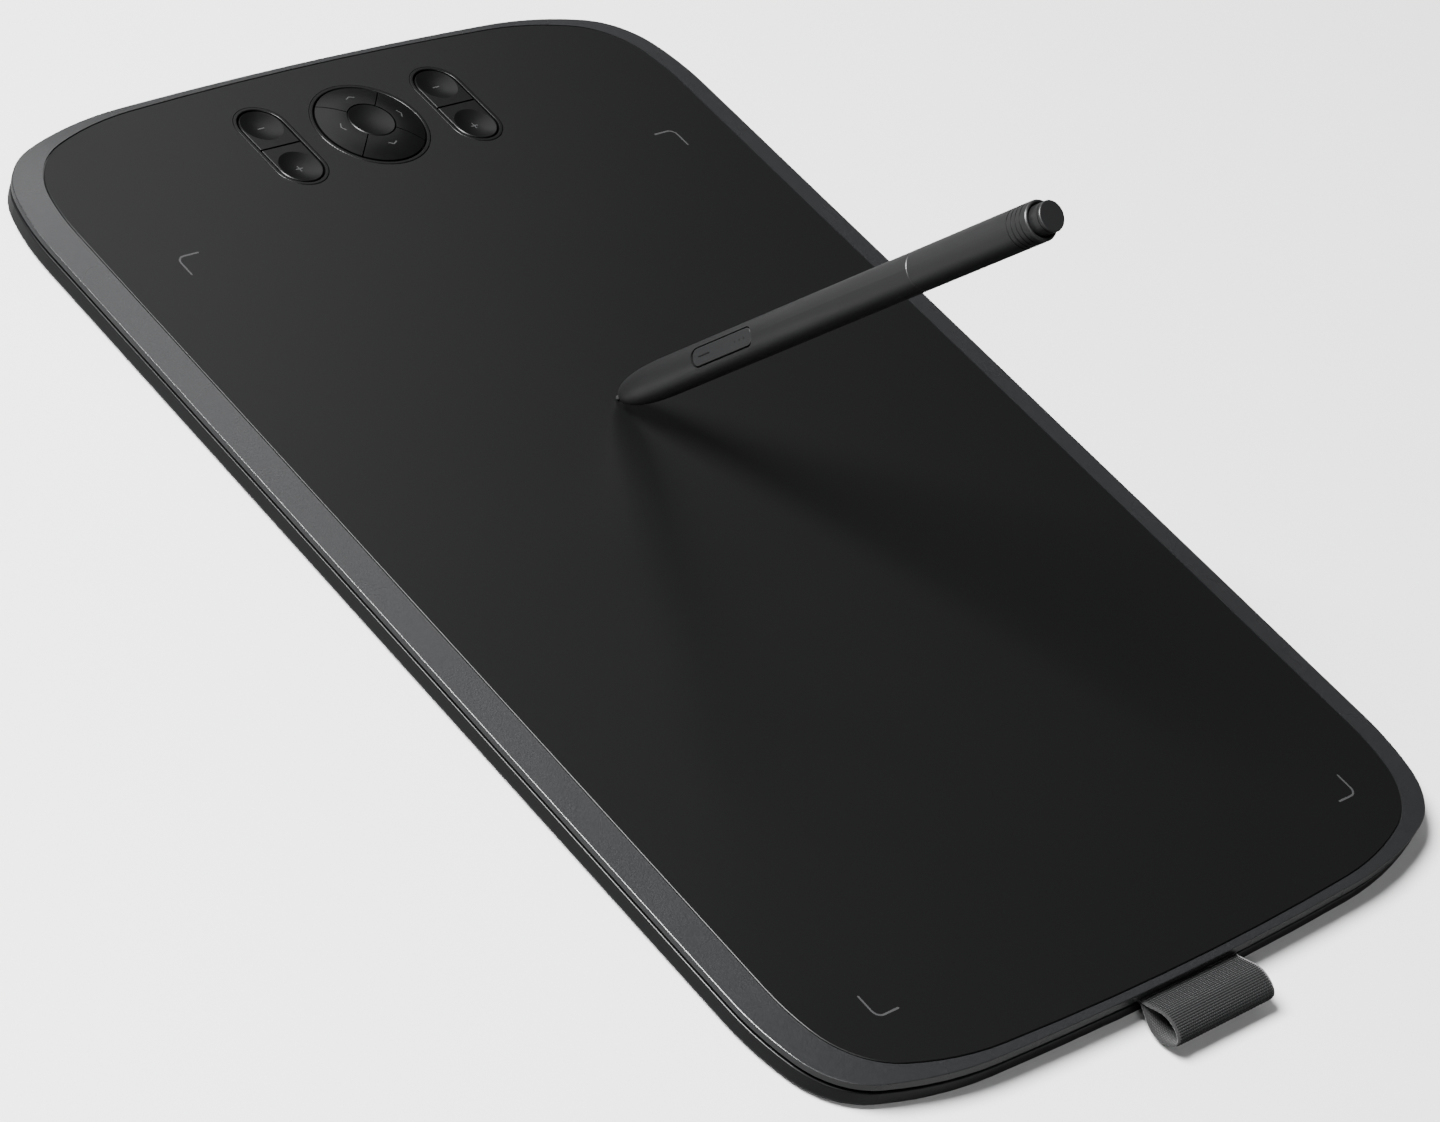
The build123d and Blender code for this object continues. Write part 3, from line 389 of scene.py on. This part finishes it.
threadLook = {"colour": (0.007, 0.0072, 0.0075), "rough": 0.62, "grain": 0.00012, "relief": 0.00002,
              "patch": 0.004, "lift": 2.0, "polish": 0.08, "gloss": 0.35}
strapLook = {"map": "strap", "pitch": 0.0006, "patch": 0.01, "colour": (0.005, 0.0051, 0.0054),
             "lift": 2.6, "relief": 0.00008}
looks = {name: plasticMaterial(name, look) for name, look in plasticLooks.items()}
looks["steel"] = steelMaterial("steel")
looks["board_green"] = boardMaterial("board_green")
looks["copper"] = copperMaterial("copper", (0.55, 0.2, 0.09), (0.75, 0.32, 0.14))
looks["gold"] = copperMaterial("gold", (0.75, 0.5, 0.18), (0.85, 0.6, 0.25))
looks["ribbon"] = ribbonMaterial("ribbon")
looks["foam"] = foamMaterial("foam")
looks["loop_fabric"] = fabricMaterial("loop_fabric", strapLook)

for subpart in record["subparts"]:
    mesh = nodes[subpart["node"]].data
    mesh.materials.clear()
    mesh.materials.append(looks[subpart["material_slot"]])
# The side button is a shade paler than the barrel round it.
nodes["side_rocker"].data.materials[0] = looks["button_grey"]
print("stage: materials")

# ------------------------------------------------------------------ places read from the frame
def middle(node):
    low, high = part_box(node)
    return [(a + b) / 2 for a, b in zip(low, high)]


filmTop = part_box("drawing_film")[1][2]
padCentre = middle("dpad_hub")
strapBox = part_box("pen_loop")
penJoint = next(j for j in record["behaviour"]["joints"] if j["name"] == "pen_lift")
rockerJoint = next(j for j in record["behaviour"]["joints"] if j["name"] == "rocker_tilt")
penLine = Vector(penJoint["axis"]).normalized()
pinLine = Vector(rockerJoint["axis"]).normalized()
pinPlace = Vector(rockerJoint["pos_m"])
buttonWay = penLine.cross(pinLine).normalized()
if buttonWay.dot(Vector((0, -1, 0))) < 0:
    buttonWay.negate()


# ------------------------------------------------------------------ mesh helpers
def meshObject(name, points, faces, material, smooth=True):
    mesh = bpy.data.meshes.new(name)
    mesh.from_pydata([tuple(p) for p in points], [], faces)
    mesh.materials.append(material)
    for face in mesh.polygons:
        face.use_smooth = smooth
    mesh.update()
    piece = bpy.data.objects.new(name, mesh)
    bpy.context.collection.objects.link(piece)
    return piece


def cleanNormals(piece):
    work = bmesh.new()
    work.from_mesh(piece.data)
    bmesh.ops.remove_doubles(work, verts=work.verts, dist=0.000001)
    bmesh.ops.recalc_face_normals(work, faces=work.faces)
    work.to_mesh(piece.data)
    work.free()


# Printed mark: strokes with round ends, laid on a node's surface and lifted by the ink's thickness.
# across and along are the strokes' two directions, and the surface faces across x along.
def printMark(name, look):
    source = nodes[look["node"]].data
    surface = BVHTree.FromPolygons(
        [v.co.copy() for v in source.vertices], [tuple(face.vertices) for face in source.polygons]
    )
    across, along = (Vector(way).normalized() for way in look["ways"])
    centre = Vector(look["centre"])
    up = across.cross(along).normalized()
    half = look["width"] / 2
    points, faces = [], []

    def drop(flat):
        start = centre + across * flat.x + along * flat.y + up * probe
        hit = surface.ray_cast(start, -up)[0]
        points.append((hit if hit else start - up * probe) + up * inkThickness)

    def roundEnd(tip, way):
        base = len(points)
        drop(tip)
        side = Vector((-way.y, way.x))
        for step in range(endSteps + 1):
            angle = math.pi * step / endSteps
            drop(tip + side * (half * math.cos(angle)) + way * (half * math.sin(angle)))
        faces.extend((base, base + step + 2, base + step + 1) for step in range(endSteps))

    for stroke in look["strokes"]:
        line = [Vector(point) for point in stroke]
        base = len(points)
        for before, point, after in zip([line[0], *line], line, [*line[1:], line[-1]]):
            way = (after - before).normalized()
            side = Vector((-way.y, way.x)) * half
            for shift in (side, side * 0, -side):
                drop(point + shift)
        for row in range(len(line) - 1):
            first = base + 3 * row
            faces.extend((first + k, first + k + 1, first + k + 4, first + k + 3) for k in (0, 1))
        roundEnd(line[-1], (line[-1] - line[-2]).normalized())
        roundEnd(line[0], (line[0] - line[1]).normalized())
    piece = meshObject(name, points, faces, looks[look["look"]])
    for face in piece.data.polygons:
        if face.normal.dot(up) < 0:
            face.flip()
    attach(piece, look["body"])
    return piece


def dashLine(start, end, steps=12):
    first, last = Vector(start), Vector(end)
    return [first.lerp(last, step / steps) for step in range(steps + 1)]


# ------------------------------------------------------------------ repeated parts by Geometry Nodes
def repeatTree(name, kinds):
    tree = bpy.data.node_groups.new(name, "GeometryNodeTree")
    for label, kind in kinds:
        tree.interface.new_socket(name=label, in_out="INPUT", socket_type=kind)
    tree.interface.new_socket(name="Geometry", in_out="OUTPUT", socket_type="NodeSocketGeometry")
    start = tree.nodes.new("NodeGroupInput").outputs
    shape = addNode(tree, "GeometryNodeObjectInfo", {"Object": start["Shape"]})
    copies = addNode(tree, "GeometryNodeInstanceOnPoints", {"Instance": shape.outputs["Geometry"]})
    solid = addNode(tree, "GeometryNodeRealizeInstances", {"Geometry": copies.outputs["Instances"]})
    smooth = addNode(tree, "GeometryNodeSetShadeSmooth", {"Geometry": solid.outputs["Geometry"]})
    paint = {"Geometry": smooth.outputs["Geometry"], "Material": start["Material"]}
    painted = addNode(tree, "GeometryNodeSetMaterial", paint)
    end = tree.nodes.new("NodeGroupOutput")
    tree.links.new(painted.outputs["Geometry"], end.inputs["Geometry"])
    return tree, start, copies


# Copies at even steps along a straight row.
def makeRow():
    kinds = [("Shape", "NodeSocketObject"), ("Count", "NodeSocketInt"), ("Start", "NodeSocketVector"),
             ("Step", "NodeSocketVector"), ("Material", "NodeSocketMaterial")]
    tree, start, copies = repeatTree("rowOfShapes", kinds)
    row = {"Count": start["Count"], "Start Location": start["Start"], "Offset": start["Step"]}
    line = addNode(tree, "GeometryNodeMeshLine", row, mode="OFFSET")
    tree.links.new(line.outputs["Mesh"], copies.inputs["Points"])
    return tree


# Copies at even steps along a curve.
def makeTrail():
    kinds = [("Shape", "NodeSocketObject"), ("Path", "NodeSocketObject"), ("Count", "NodeSocketInt"),
             ("Material", "NodeSocketMaterial")]
    tree, start, copies = repeatTree("shapesOnPath", kinds)
    path = addNode(tree, "GeometryNodeObjectInfo", {"Object": start["Path"]})
    sockets = {"Curve": path.outputs["Geometry"], "Count": start["Count"]}
    even = addNode(tree, "GeometryNodeResampleCurve", sockets)
    tree.links.new(even.outputs["Curve"], copies.inputs["Points"])
    return tree


# One copy in each corner of a rectangle, each turned a quarter further.
def makeCorners():
    kinds = [("Shape", "NodeSocketObject"), ("Length", "NodeSocketFloat"), ("Width", "NodeSocketFloat"),
             ("Centre", "NodeSocketVector"), ("Material", "NodeSocketMaterial")]
    tree, start, copies = repeatTree("shapeInCorners", kinds)
    size = {"Size X": start["Length"], "Size Y": start["Width"], "Vertices X": 2, "Vertices Y": 2}
    grid = addNode(tree, "GeometryNodeMeshGrid", size)
    place = addNode(tree, "GeometryNodeInputPosition").outputs[0]
    parts = addNode(tree, "ShaderNodeSeparateXYZ", {0: place})
    sides = {0: parts.outputs["Y"], 1: parts.outputs["X"]}
    angle = addNode(tree, "ShaderNodeMath", sides, operation="ARCTAN2")
    quarters = {0: angle.outputs[0], 1: math.pi / 2}
    quarter = addNode(tree, "ShaderNodeMath", quarters, operation="SNAP")
    turn = addNode(tree, "ShaderNodeCombineXYZ", {"Z": quarter.outputs[0]})
    # The turn reads the place in the rectangle, so it is kept before the points move.
    store = {"Geometry": grid.outputs["Mesh"], "Name": "turn", "Value": turn.outputs[0]}
    kept = addNode(
        tree, "GeometryNodeStoreNamedAttribute", store, data_type="FLOAT_VECTOR", domain="POINT"
    )
    move = {"Geometry": kept.outputs["Geometry"], "Offset": start["Centre"]}
    moved = addNode(tree, "GeometryNodeSetPosition", move)
    tree.links.new(moved.outputs["Geometry"], copies.inputs["Points"])
    read = addNode(tree, "GeometryNodeInputNamedAttribute", {"Name": "turn"}, data_type="FLOAT_VECTOR")
    tree.links.new(read.outputs["Attribute"], copies.inputs["Rotation"])
    return tree


repeatTrees = {"row": makeRow(), "trail": makeTrail(), "corners": makeCorners()}


# Runs a repeat tree, keeps its result as a plain mesh and puts the master shape away.
def repeatShape(name, kind, values, body, spare):
    holder = meshObject(name, [], [], values["Material"])
    modifier = holder.modifiers.new(kind, "NODES")
    modifier.node_group = repeatTrees[kind]
    for item in modifier.node_group.interface.items_tree:
        if item.in_out == "INPUT":
            modifier[item.identifier] = values[item.name]
    holder.update_tag()
    bpy.context.view_layer.update()
    result = holder.evaluated_get(bpy.context.evaluated_depsgraph_get())
    made = bpy.data.meshes.new_from_object(result)
    holder.modifiers.remove(modifier)
    holder.data = made
    for extra in spare:
        bpy.data.objects.remove(extra)
    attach(holder, body)
    return holder


# ------------------------------------------------------------------ marks on the film and the keys
# Every mark starts from probe above its surface, and the ink stands inkThickness proud of it.
inkThickness = 0.00002
probe = 0.004
endSteps = 8
sensorCentre = middle("sensor_board")
cornerSettings = {
    "length": 254.0 * mm, "depth": 158.75 * mm, "leg": 6.2 * mm, "radius": 2.0 * mm, "width": 0.5 * mm,
    "arcSteps": 10,
}
pillSettings = {"shift": 8.1 * mm, "arm": 0.9 * mm, "width": 0.34 * mm}
padSettings = {"reach": 9.6 * mm, "arm": 1.2 * mm, "slope": 0.55, "armSteps": 6, "width": 0.34 * mm}
buttonSettings = {
    "flat": 2.05 * mm, "dash": (-8.7 * mm, -4.7 * mm), "dots": (4.9 * mm, 6.6 * mm, 8.3 * mm),
    "dotLength": 0.1 * mm, "width": 0.36 * mm,
}


# A rounded corner with its two legs pointing back from the corner at the origin.
def cornerStroke(leg, radius):
    arc = [
        Vector((radius * (math.cos(angle) - 1), radius * (math.sin(angle) - 1)))
        for angle in np.linspace(0, math.pi / 2, cornerSettings["arcSteps"])
    ]
    return [Vector((0, -leg)), *arc, Vector((-leg, 0))]


def makeCornerMarks():
    look = {
        "node": "drawing_film", "centre": (0, 0, filmTop), "ways": ((1, 0, 0), (0, 1, 0)),
        "strokes": [cornerStroke(cornerSettings["leg"], cornerSettings["radius"])],
        "width": cornerSettings["width"], "look": "print_grey", "body": "tablet", "slot": "case_grey",
    }
    master = printMark("cornerMaster", look)
    values = {
        "Shape": master, "Length": cornerSettings["length"], "Width": cornerSettings["depth"],
        "Centre": (sensorCentre[0], sensorCentre[1], 0), "Material": looks["print_grey"],
    }
    repeatShape("cornerMarks", "corners", values, "tablet", [master])


# A bar on each left key and a cross on each right one.
def makePillMarks():
    arm = pillSettings["arm"]
    upright, level = dashLine((0, -arm), (0, arm)), dashLine((-arm, 0), (arm, 0))
    keys = (("left", -1, [upright]), ("right", 1, [upright, level]))
    for row in ("upper", "lower"):
        x, y, _ = middle(f"pill_ring_{row}")
        for half, side, strokes in keys:
            node = f"pill_key_{row}_{half}"
            look = {
                "node": node, "centre": (x + side * pillSettings["shift"], y, filmTop),
                "ways": ((1, 0, 0), (0, 1, 0)), "strokes": strokes, "width": pillSettings["width"],
                "look": "print_grey", "body": node, "slot": "key_black",
            }
            printMark(f"{node}_mark", look)


# A chevron on each sector of the round pad, pointing outwards.
def makePadMarks():
    arm, steps = padSettings["arm"], padSettings["armSteps"]
    back = -arm * padSettings["slope"]
    chevron = [*dashLine((back, -arm), (0, 0), steps), *dashLine((0, 0), (back, arm), steps)[1:]]
    padTop = Vector((padCentre[0], padCentre[1], filmTop))
    for name, turn in (("right", 0), ("up", 90), ("left", 180), ("down", 270)):
        angle = math.radians(turn)
        out = Vector((math.cos(angle), math.sin(angle), 0))
        side = Vector((-out.y, out.x, 0))
        node = f"dpad_key_{name}"
        look = {
            "node": node, "centre": padTop + out * padSettings["reach"], "ways": (out, side),
            "strokes": [chevron], "width": padSettings["width"],
            "look": "print_grey", "body": node, "slot": "key_black",
        }
        printMark(f"{node}_mark", look)


# A dash towards the tip and three dots towards the tail, on the pen's side button.
def makeButtonMarks():
    side = buttonWay.cross(penLine)
    first, last = buttonSettings["dash"]
    strokes = [dashLine((first, 0), (last, 0))]
    strokes += [dashLine((x, 0), (x + buttonSettings["dotLength"], 0), 1) for x in buttonSettings["dots"]]
    look = {
        "node": "side_rocker", "centre": pinPlace + buttonWay * buttonSettings["flat"],
        "ways": (penLine, side), "strokes": strokes, "width": buttonSettings["width"],
        "look": "print_dark", "body": "rocker", "slot": "pen_plastic",
    }
    printMark("side_rocker_marks", look)


makeCornerMarks()
makePillMarks()
makePadMarks()
makeButtonMarks()
print("stage: marks")

# ------------------------------------------------------------------ woven pen loop
# The strap's middle line: a flat tail, once round the teardrop, and a flat tail back under the first.
# Each turn is (distance behind the nose, height over the split), and the two halves lie a gap apart.
strapSettings = {
    "thickness": 0.46 * mm, "tail": 8.0 * mm, "pitch": 0.55 * mm, "rib": 0.2 * mm, "ribSides": 8,
    "bead": 1.1 * mm, "steps": 220, "rows": 30, "hem": 0.06 * mm, "tailSteps": 12, "gap": 0.02 * mm,
    "splitDrop": 0.5 * mm, "crown": (4.9 * mm, 2.7 * mm), "tip": -0.65 * mm,
    "belly": (4.2 * mm, -4.15 * mm), "heel": (8.7 * mm, -3.0 * mm), "swell": 0.22, "ribInset": 0.5 * mm,
}


# Cubic through the points, with its ends' tangents given, as evenly spaced (x, z) points.
def smoothLine(points, startWay, endWay, count):
    points = np.array(points, float)
    chords = np.linalg.norm(np.diff(points, axis=0), axis=1)
    knots = np.concatenate([[0], np.cumsum(chords)])
    size = len(points)
    system = np.zeros((size, size))
    right = np.zeros((size, 2))
    system[0, 0] = system[-1, -1] = 1
    right[0], right[-1] = startWay, endWay
    for i in range(1, size - 1):
        before, after = chords[i - 1], chords[i]
        system[i, i - 1 : i + 2] = after, 2 * (before + after), before
        ahead = before * (points[i + 1] - points[i]) / after
        right[i] = 3 * (ahead + after * (points[i] - points[i - 1]) / before)
    ways = np.linalg.solve(system, right)
    dense = []
    for place in np.linspace(0, knots[-1], 6 * count):
        i = min(np.searchsorted(knots, place, side="right") - 1, size - 2)
        step = chords[i]
        t = (place - knots[i]) / step
        dense.append(
            (2 * t**3 - 3 * t**2 + 1) * points[i] + (t**3 - 2 * t**2 + t) * step * ways[i]
            + (3 * t**2 - 2 * t**3) * points[i + 1] + (t**3 - t**2) * step * ways[i + 1]
        )
    return evenly(np.array(dense), count)


def evenly(line, count):
    run = np.concatenate([[0], np.cumsum(np.linalg.norm(np.diff(line, axis=0), axis=1))])
    places = np.linspace(0, run[-1], count)
    return np.stack([np.interp(places, run, line[:, k]) for k in range(line.shape[1])], axis=1)


def strapLine(settings):
    nose = strapBox[1][0] - settings["rib"]
    half = settings["thickness"] / 2
    clampLow, clampHigh = (corner[2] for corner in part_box("loop_clamp"))
    split = middle("loop_clamp")[2] - (clampHigh - clampLow) / 2 - settings["splitDrop"]
    mouth = strapBox[0][0] + settings["tail"]
    inset = half + settings["rib"] * 0.4
    crown, belly, heel = settings["crown"], settings["belly"], settings["heel"]
    turns = [
        (mouth, split + half + settings["gap"]),
        (nose - crown[0], split + crown[1] - inset),
        (nose - half, split + settings["tip"]),
        (nose - belly[0], split + belly[1] + inset),
        (nose - heel[0], split + heel[1] + inset),
        (mouth, split - half - settings["gap"]),
    ]
    bow = smoothLine(turns, (1, 0.1), (-1, 0.5), settings["steps"])
    top = np.array([(strapBox[0][0], turns[0][1]), turns[0]])
    low = np.array([turns[-1], (strapBox[0][0], turns[-1][1])])
    tails = [evenly(tail, settings["tailSteps"]) for tail in (top, low)]
    return np.concatenate([tails[0][:-1], bow, tails[1][1:]]), bow


def lineNormals(line):
    ways = np.gradient(line, axis=0)
    ways /= np.linalg.norm(ways, axis=1)[:, None]
    return np.stack([-ways[:, 1], ways[:, 0]], axis=1)


def makeStrap(settings):
    line, bow = strapLine(settings)
    normals = lineNormals(line)
    half = settings["thickness"] / 2
    low, high = strapBox[0][1], strapBox[1][1]
    across = np.linspace(low, high, settings["rows"])
    run = np.concatenate([[0], np.cumsum(np.linalg.norm(np.diff(line, axis=0), axis=1))])
    points, faces, maps = [], [], []
    rows = settings["rows"]
    for side in (1, -1):
        for (x, z), (nx, nz), v in zip(line, normals, run):
            for k, y in enumerate(across):
                hem = settings["hem"] if 0 < k < rows - 1 else 0
                reach = side * (half - settings["hem"] + hem)
                points.append((x + nx * reach, y, z + nz * reach))
                maps.append((y, v))
    face = len(line) * rows
    for i in range(len(line) - 1):
        for k in range(rows - 1):
            a = i * rows + k
            faces.append((a, a + 1, a + rows + 1, a + rows))
            faces.append((face + a, face + a + rows, face + a + rows + 1, face + a + 1))
        for k in (0, rows - 1):
            a = i * rows + k
            faces.append((a, a + rows, face + a + rows, face + a))
    for i in (0, len(line) - 1):
        for k in range(rows - 1):
            a = i * rows + k
            faces.append((a, a + 1, face + a + 1, face + a))
    strap = meshObject("loopStrap", points, faces, looks["loop_fabric"])
    layer = strap.data.uv_layers.new(name=strapLook["map"])
    for loop in strap.data.loops:
        layer.data[loop.index].uv = maps[loop.vertex_index]
    cleanNormals(strap)
    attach(strap, "tablet")
    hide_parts("pen_loop")
    return strap, bow, float(run[-1])


# One rib: a thread across the strap, swollen where the binding thread passes under it.
def ribShape(settings):
    low, high = strapBox[0][1] + settings["ribInset"], strapBox[1][1] - settings["ribInset"]
    beads = int((high - low) / settings["bead"])
    stations = np.linspace(low, high, 4 * beads + 1)
    sides = settings["ribSides"]
    points, faces = [], []
    for i, y in enumerate(stations):
        swell = 1 + settings["swell"] * math.cos(math.pi * i / 2)
        radius = settings["rib"] * swell * (0.5 if i in (0, len(stations) - 1) else 1)
        for k in range(sides):
            angle = 2 * math.pi * k / sides
            points.append((radius * math.cos(angle), y, radius * math.sin(angle)))
    for i in range(len(stations) - 1):
        for k in range(sides):
            a, b = i * sides + k, i * sides + (k + 1) % sides
            faces.append((a, b, b + sides, a + sides))
    faces.append(tuple(range(sides)))
    faces.append(tuple(len(points) - sides + k for k in range(sides)))
    rib = meshObject("ribMaster", points, faces, looks["loop_thread"])
    cleanNormals(rib)
    return rib


def makeRibs(settings, bow):
    normals = lineNormals(bow)
    half = settings["thickness"] / 2
    face = bow + normals * (half - settings["hem"] * 0.5)
    run = np.linalg.norm(np.diff(face, axis=0), axis=1).sum()
    data = bpy.data.curves.new("ribPath", "CURVE")
    data.dimensions = "3D"
    spline = data.splines.new("POLY")
    spline.points.add(len(face) - 1)
    for point, (x, z) in zip(spline.points, face):
        point.co = (x, 0, z, 1)
    path = bpy.data.objects.new("ribPath", data)
    bpy.context.collection.objects.link(path)
    rib = ribShape(settings)
    count = int(run / settings["pitch"])
    values = {"Shape": rib, "Path": path, "Count": count, "Material": looks["loop_thread"]}
    return repeatShape("loopRibs", "trail", values, "tablet", [rib, path])


looks["loop_thread"] = plasticMaterial("loop_thread", threadLook)
strap, strapBow, strapLength = makeStrap(strapSettings)
ribs = makeRibs(strapSettings, strapBow)
print("stage: pen loop", round(strapLength / mm, 1), "mm of strap")

# ------------------------------------------------------------------ small parts in rows
coilSettings = {"wire": 0.13 * mm, "radius": 2.1 * mm, "pitch": 0.3 * mm, "length": 9.6 * mm,
                "sides": 6, "around": 40}
contactSettings = {"size": (3.2 * mm, 0.26 * mm, 0.06 * mm), "inset": 2.0 * mm, "pitch": 0.5 * mm,
                   "count": 12}
# shift is from the board's middle along X, and half is half the chip's depth along Y.
footSettings = {"size": (0.25 * mm, 0.7 * mm, 0.2 * mm), "reach": 0.25 * mm, "lift": 0.1 * mm,
                "end": 1.0 * mm}
footedChips = [
    {"shift": 14 * mm, "y": 18 * mm, "length": 7.0 * mm, "half": 3.5 * mm, "count": 12},
    {"shift": 15 * mm, "y": -14 * mm, "length": 5.0 * mm, "half": 3.0 * mm, "count": 8},
]


def boxShape(name, size, look):
    x, y, z = (value / 2 for value in size)
    points = [(a * x, b * y, c * z) for a in (-1, 1) for b in (-1, 1) for c in (-1, 1)]
    faces = [(0, 1, 3, 2), (4, 6, 7, 5), (0, 4, 5, 1), (2, 3, 7, 6), (0, 2, 6, 4), (1, 5, 7, 3)]
    return meshObject(name, points, faces, look, smooth=False)


# A row of one master shape, which is used up.
def makeRowOf(name, master, count, start, step, look, body):
    values = {"Shape": master, "Count": count, "Start": start, "Step": step, "Material": looks[look]}
    repeatShape(name, "row", values, body, [master])


# Turns of wire on the pen's coil: thin rings along its line.
def makeCoilTurns(settings):
    radius, wire, pitch = settings["radius"], settings["wire"], settings["pitch"]
    sides, around = settings["sides"], settings["around"]
    side = buttonWay.cross(penLine)
    points, faces = [], []
    for i in range(around):
        turn = 2 * math.pi * i / around
        out = buttonWay * math.cos(turn) + side * math.sin(turn)
        for k in range(sides):
            angle = 2 * math.pi * k / sides
            points.append(out * (radius + wire * math.cos(angle)) + penLine * (wire * math.sin(angle)))
    for i in range(around):
        for k in range(sides):
            a, b = i * sides + k, i * sides + (k + 1) % sides
            c, d = ((i + 1) % around) * sides + k, ((i + 1) % around) * sides + (k + 1) % sides
            faces.append((a, b, d, c))
    master = meshObject("turnMaster", points, faces, looks["copper"])
    cleanNormals(master)
    count = int(settings["length"] / pitch)
    start = Vector(middle("antenna_coil")) - penLine * (pitch * (count - 1) / 2)
    makeRowOf("coilTurns", master, count, start, penLine * pitch, "copper", "pen")


# Contacts on both faces of the socket's tongue.
def makeContacts(settings):
    low, high = (Vector(corner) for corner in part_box("usb_c_tongue"))
    pitch, count = settings["pitch"], settings["count"]
    for name, z in (("upper", high.z), ("lower", low.z)):
        master = boxShape("contactMaster", settings["size"], looks["gold"])
        start = Vector((low.x + settings["inset"], -pitch * (count - 1) / 2, z))
        makeRowOf(f"usbContacts_{name}", master, count, start, (0, pitch, 0), "gold", "tablet")


# Tinned feet along two sides of the larger chips.
def makeChipFeet(settings, chips):
    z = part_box("main_board")[1][2] + settings["lift"]
    boardX = middle("main_board")[0]
    for index, chip in enumerate(chips):
        count = chip["count"]
        pitch = (chip["length"] - settings["end"]) / (count - 1)
        x = boardX + chip["shift"] - pitch * (count - 1) / 2
        for sideName, side in (("near", -1), ("far", 1)):
            master = boxShape("footMaster", settings["size"], looks["steel"])
            start = Vector((x, chip["y"] + side * (chip["half"] + settings["reach"]), z))
            name = f"chipFeet_{index}_{sideName}"
            makeRowOf(name, master, count, start, (pitch, 0, 0), "steel", "tablet")


makeCoilTurns(coilSettings)
makeContacts(contactSettings)
makeChipFeet(footSettings, footedChips)
print("stage: small parts")

# ------------------------------------------------------------------ floor
# Pale to the camera and dim to everything else, so that it doesn't light the walls from below.
floorSettings = {"reach": 3.0, "patch": 0.4, "pale": (0.95, 0.97), "dim": 0.12, "rough": 0.9}


def makeFloor(settings):
    reach = settings["reach"]
    corners = [(-reach, -reach, 0), (reach, -reach, 0), (reach, reach, 0), (-reach, reach, 0)]
    material, tree, shader = newMaterial("floor")
    place = addNode(tree, "ShaderNodeTexCoord").outputs["Object"]
    cloud = usePart(tree, "cloud", {"Vector": place, "Size": settings["patch"]})["Cloud"]
    pale = mixColour(tree, cloud, *(rgb((tone, tone, tone)) for tone in settings["pale"]))
    seen = addNode(tree, "ShaderNodeLightPath").outputs["Is Camera Ray"]
    tone = mixColour(tree, seen, rgb((settings["dim"],) * 3), pale)
    tree.links.new(tone, shader.inputs["Base Color"])
    shader.inputs["Roughness"].default_value = settings["rough"]
    meshObject("floor", corners, [(0, 1, 2, 3)], material, smooth=False)


makeFloor(floorSettings)
print("stage: floor")
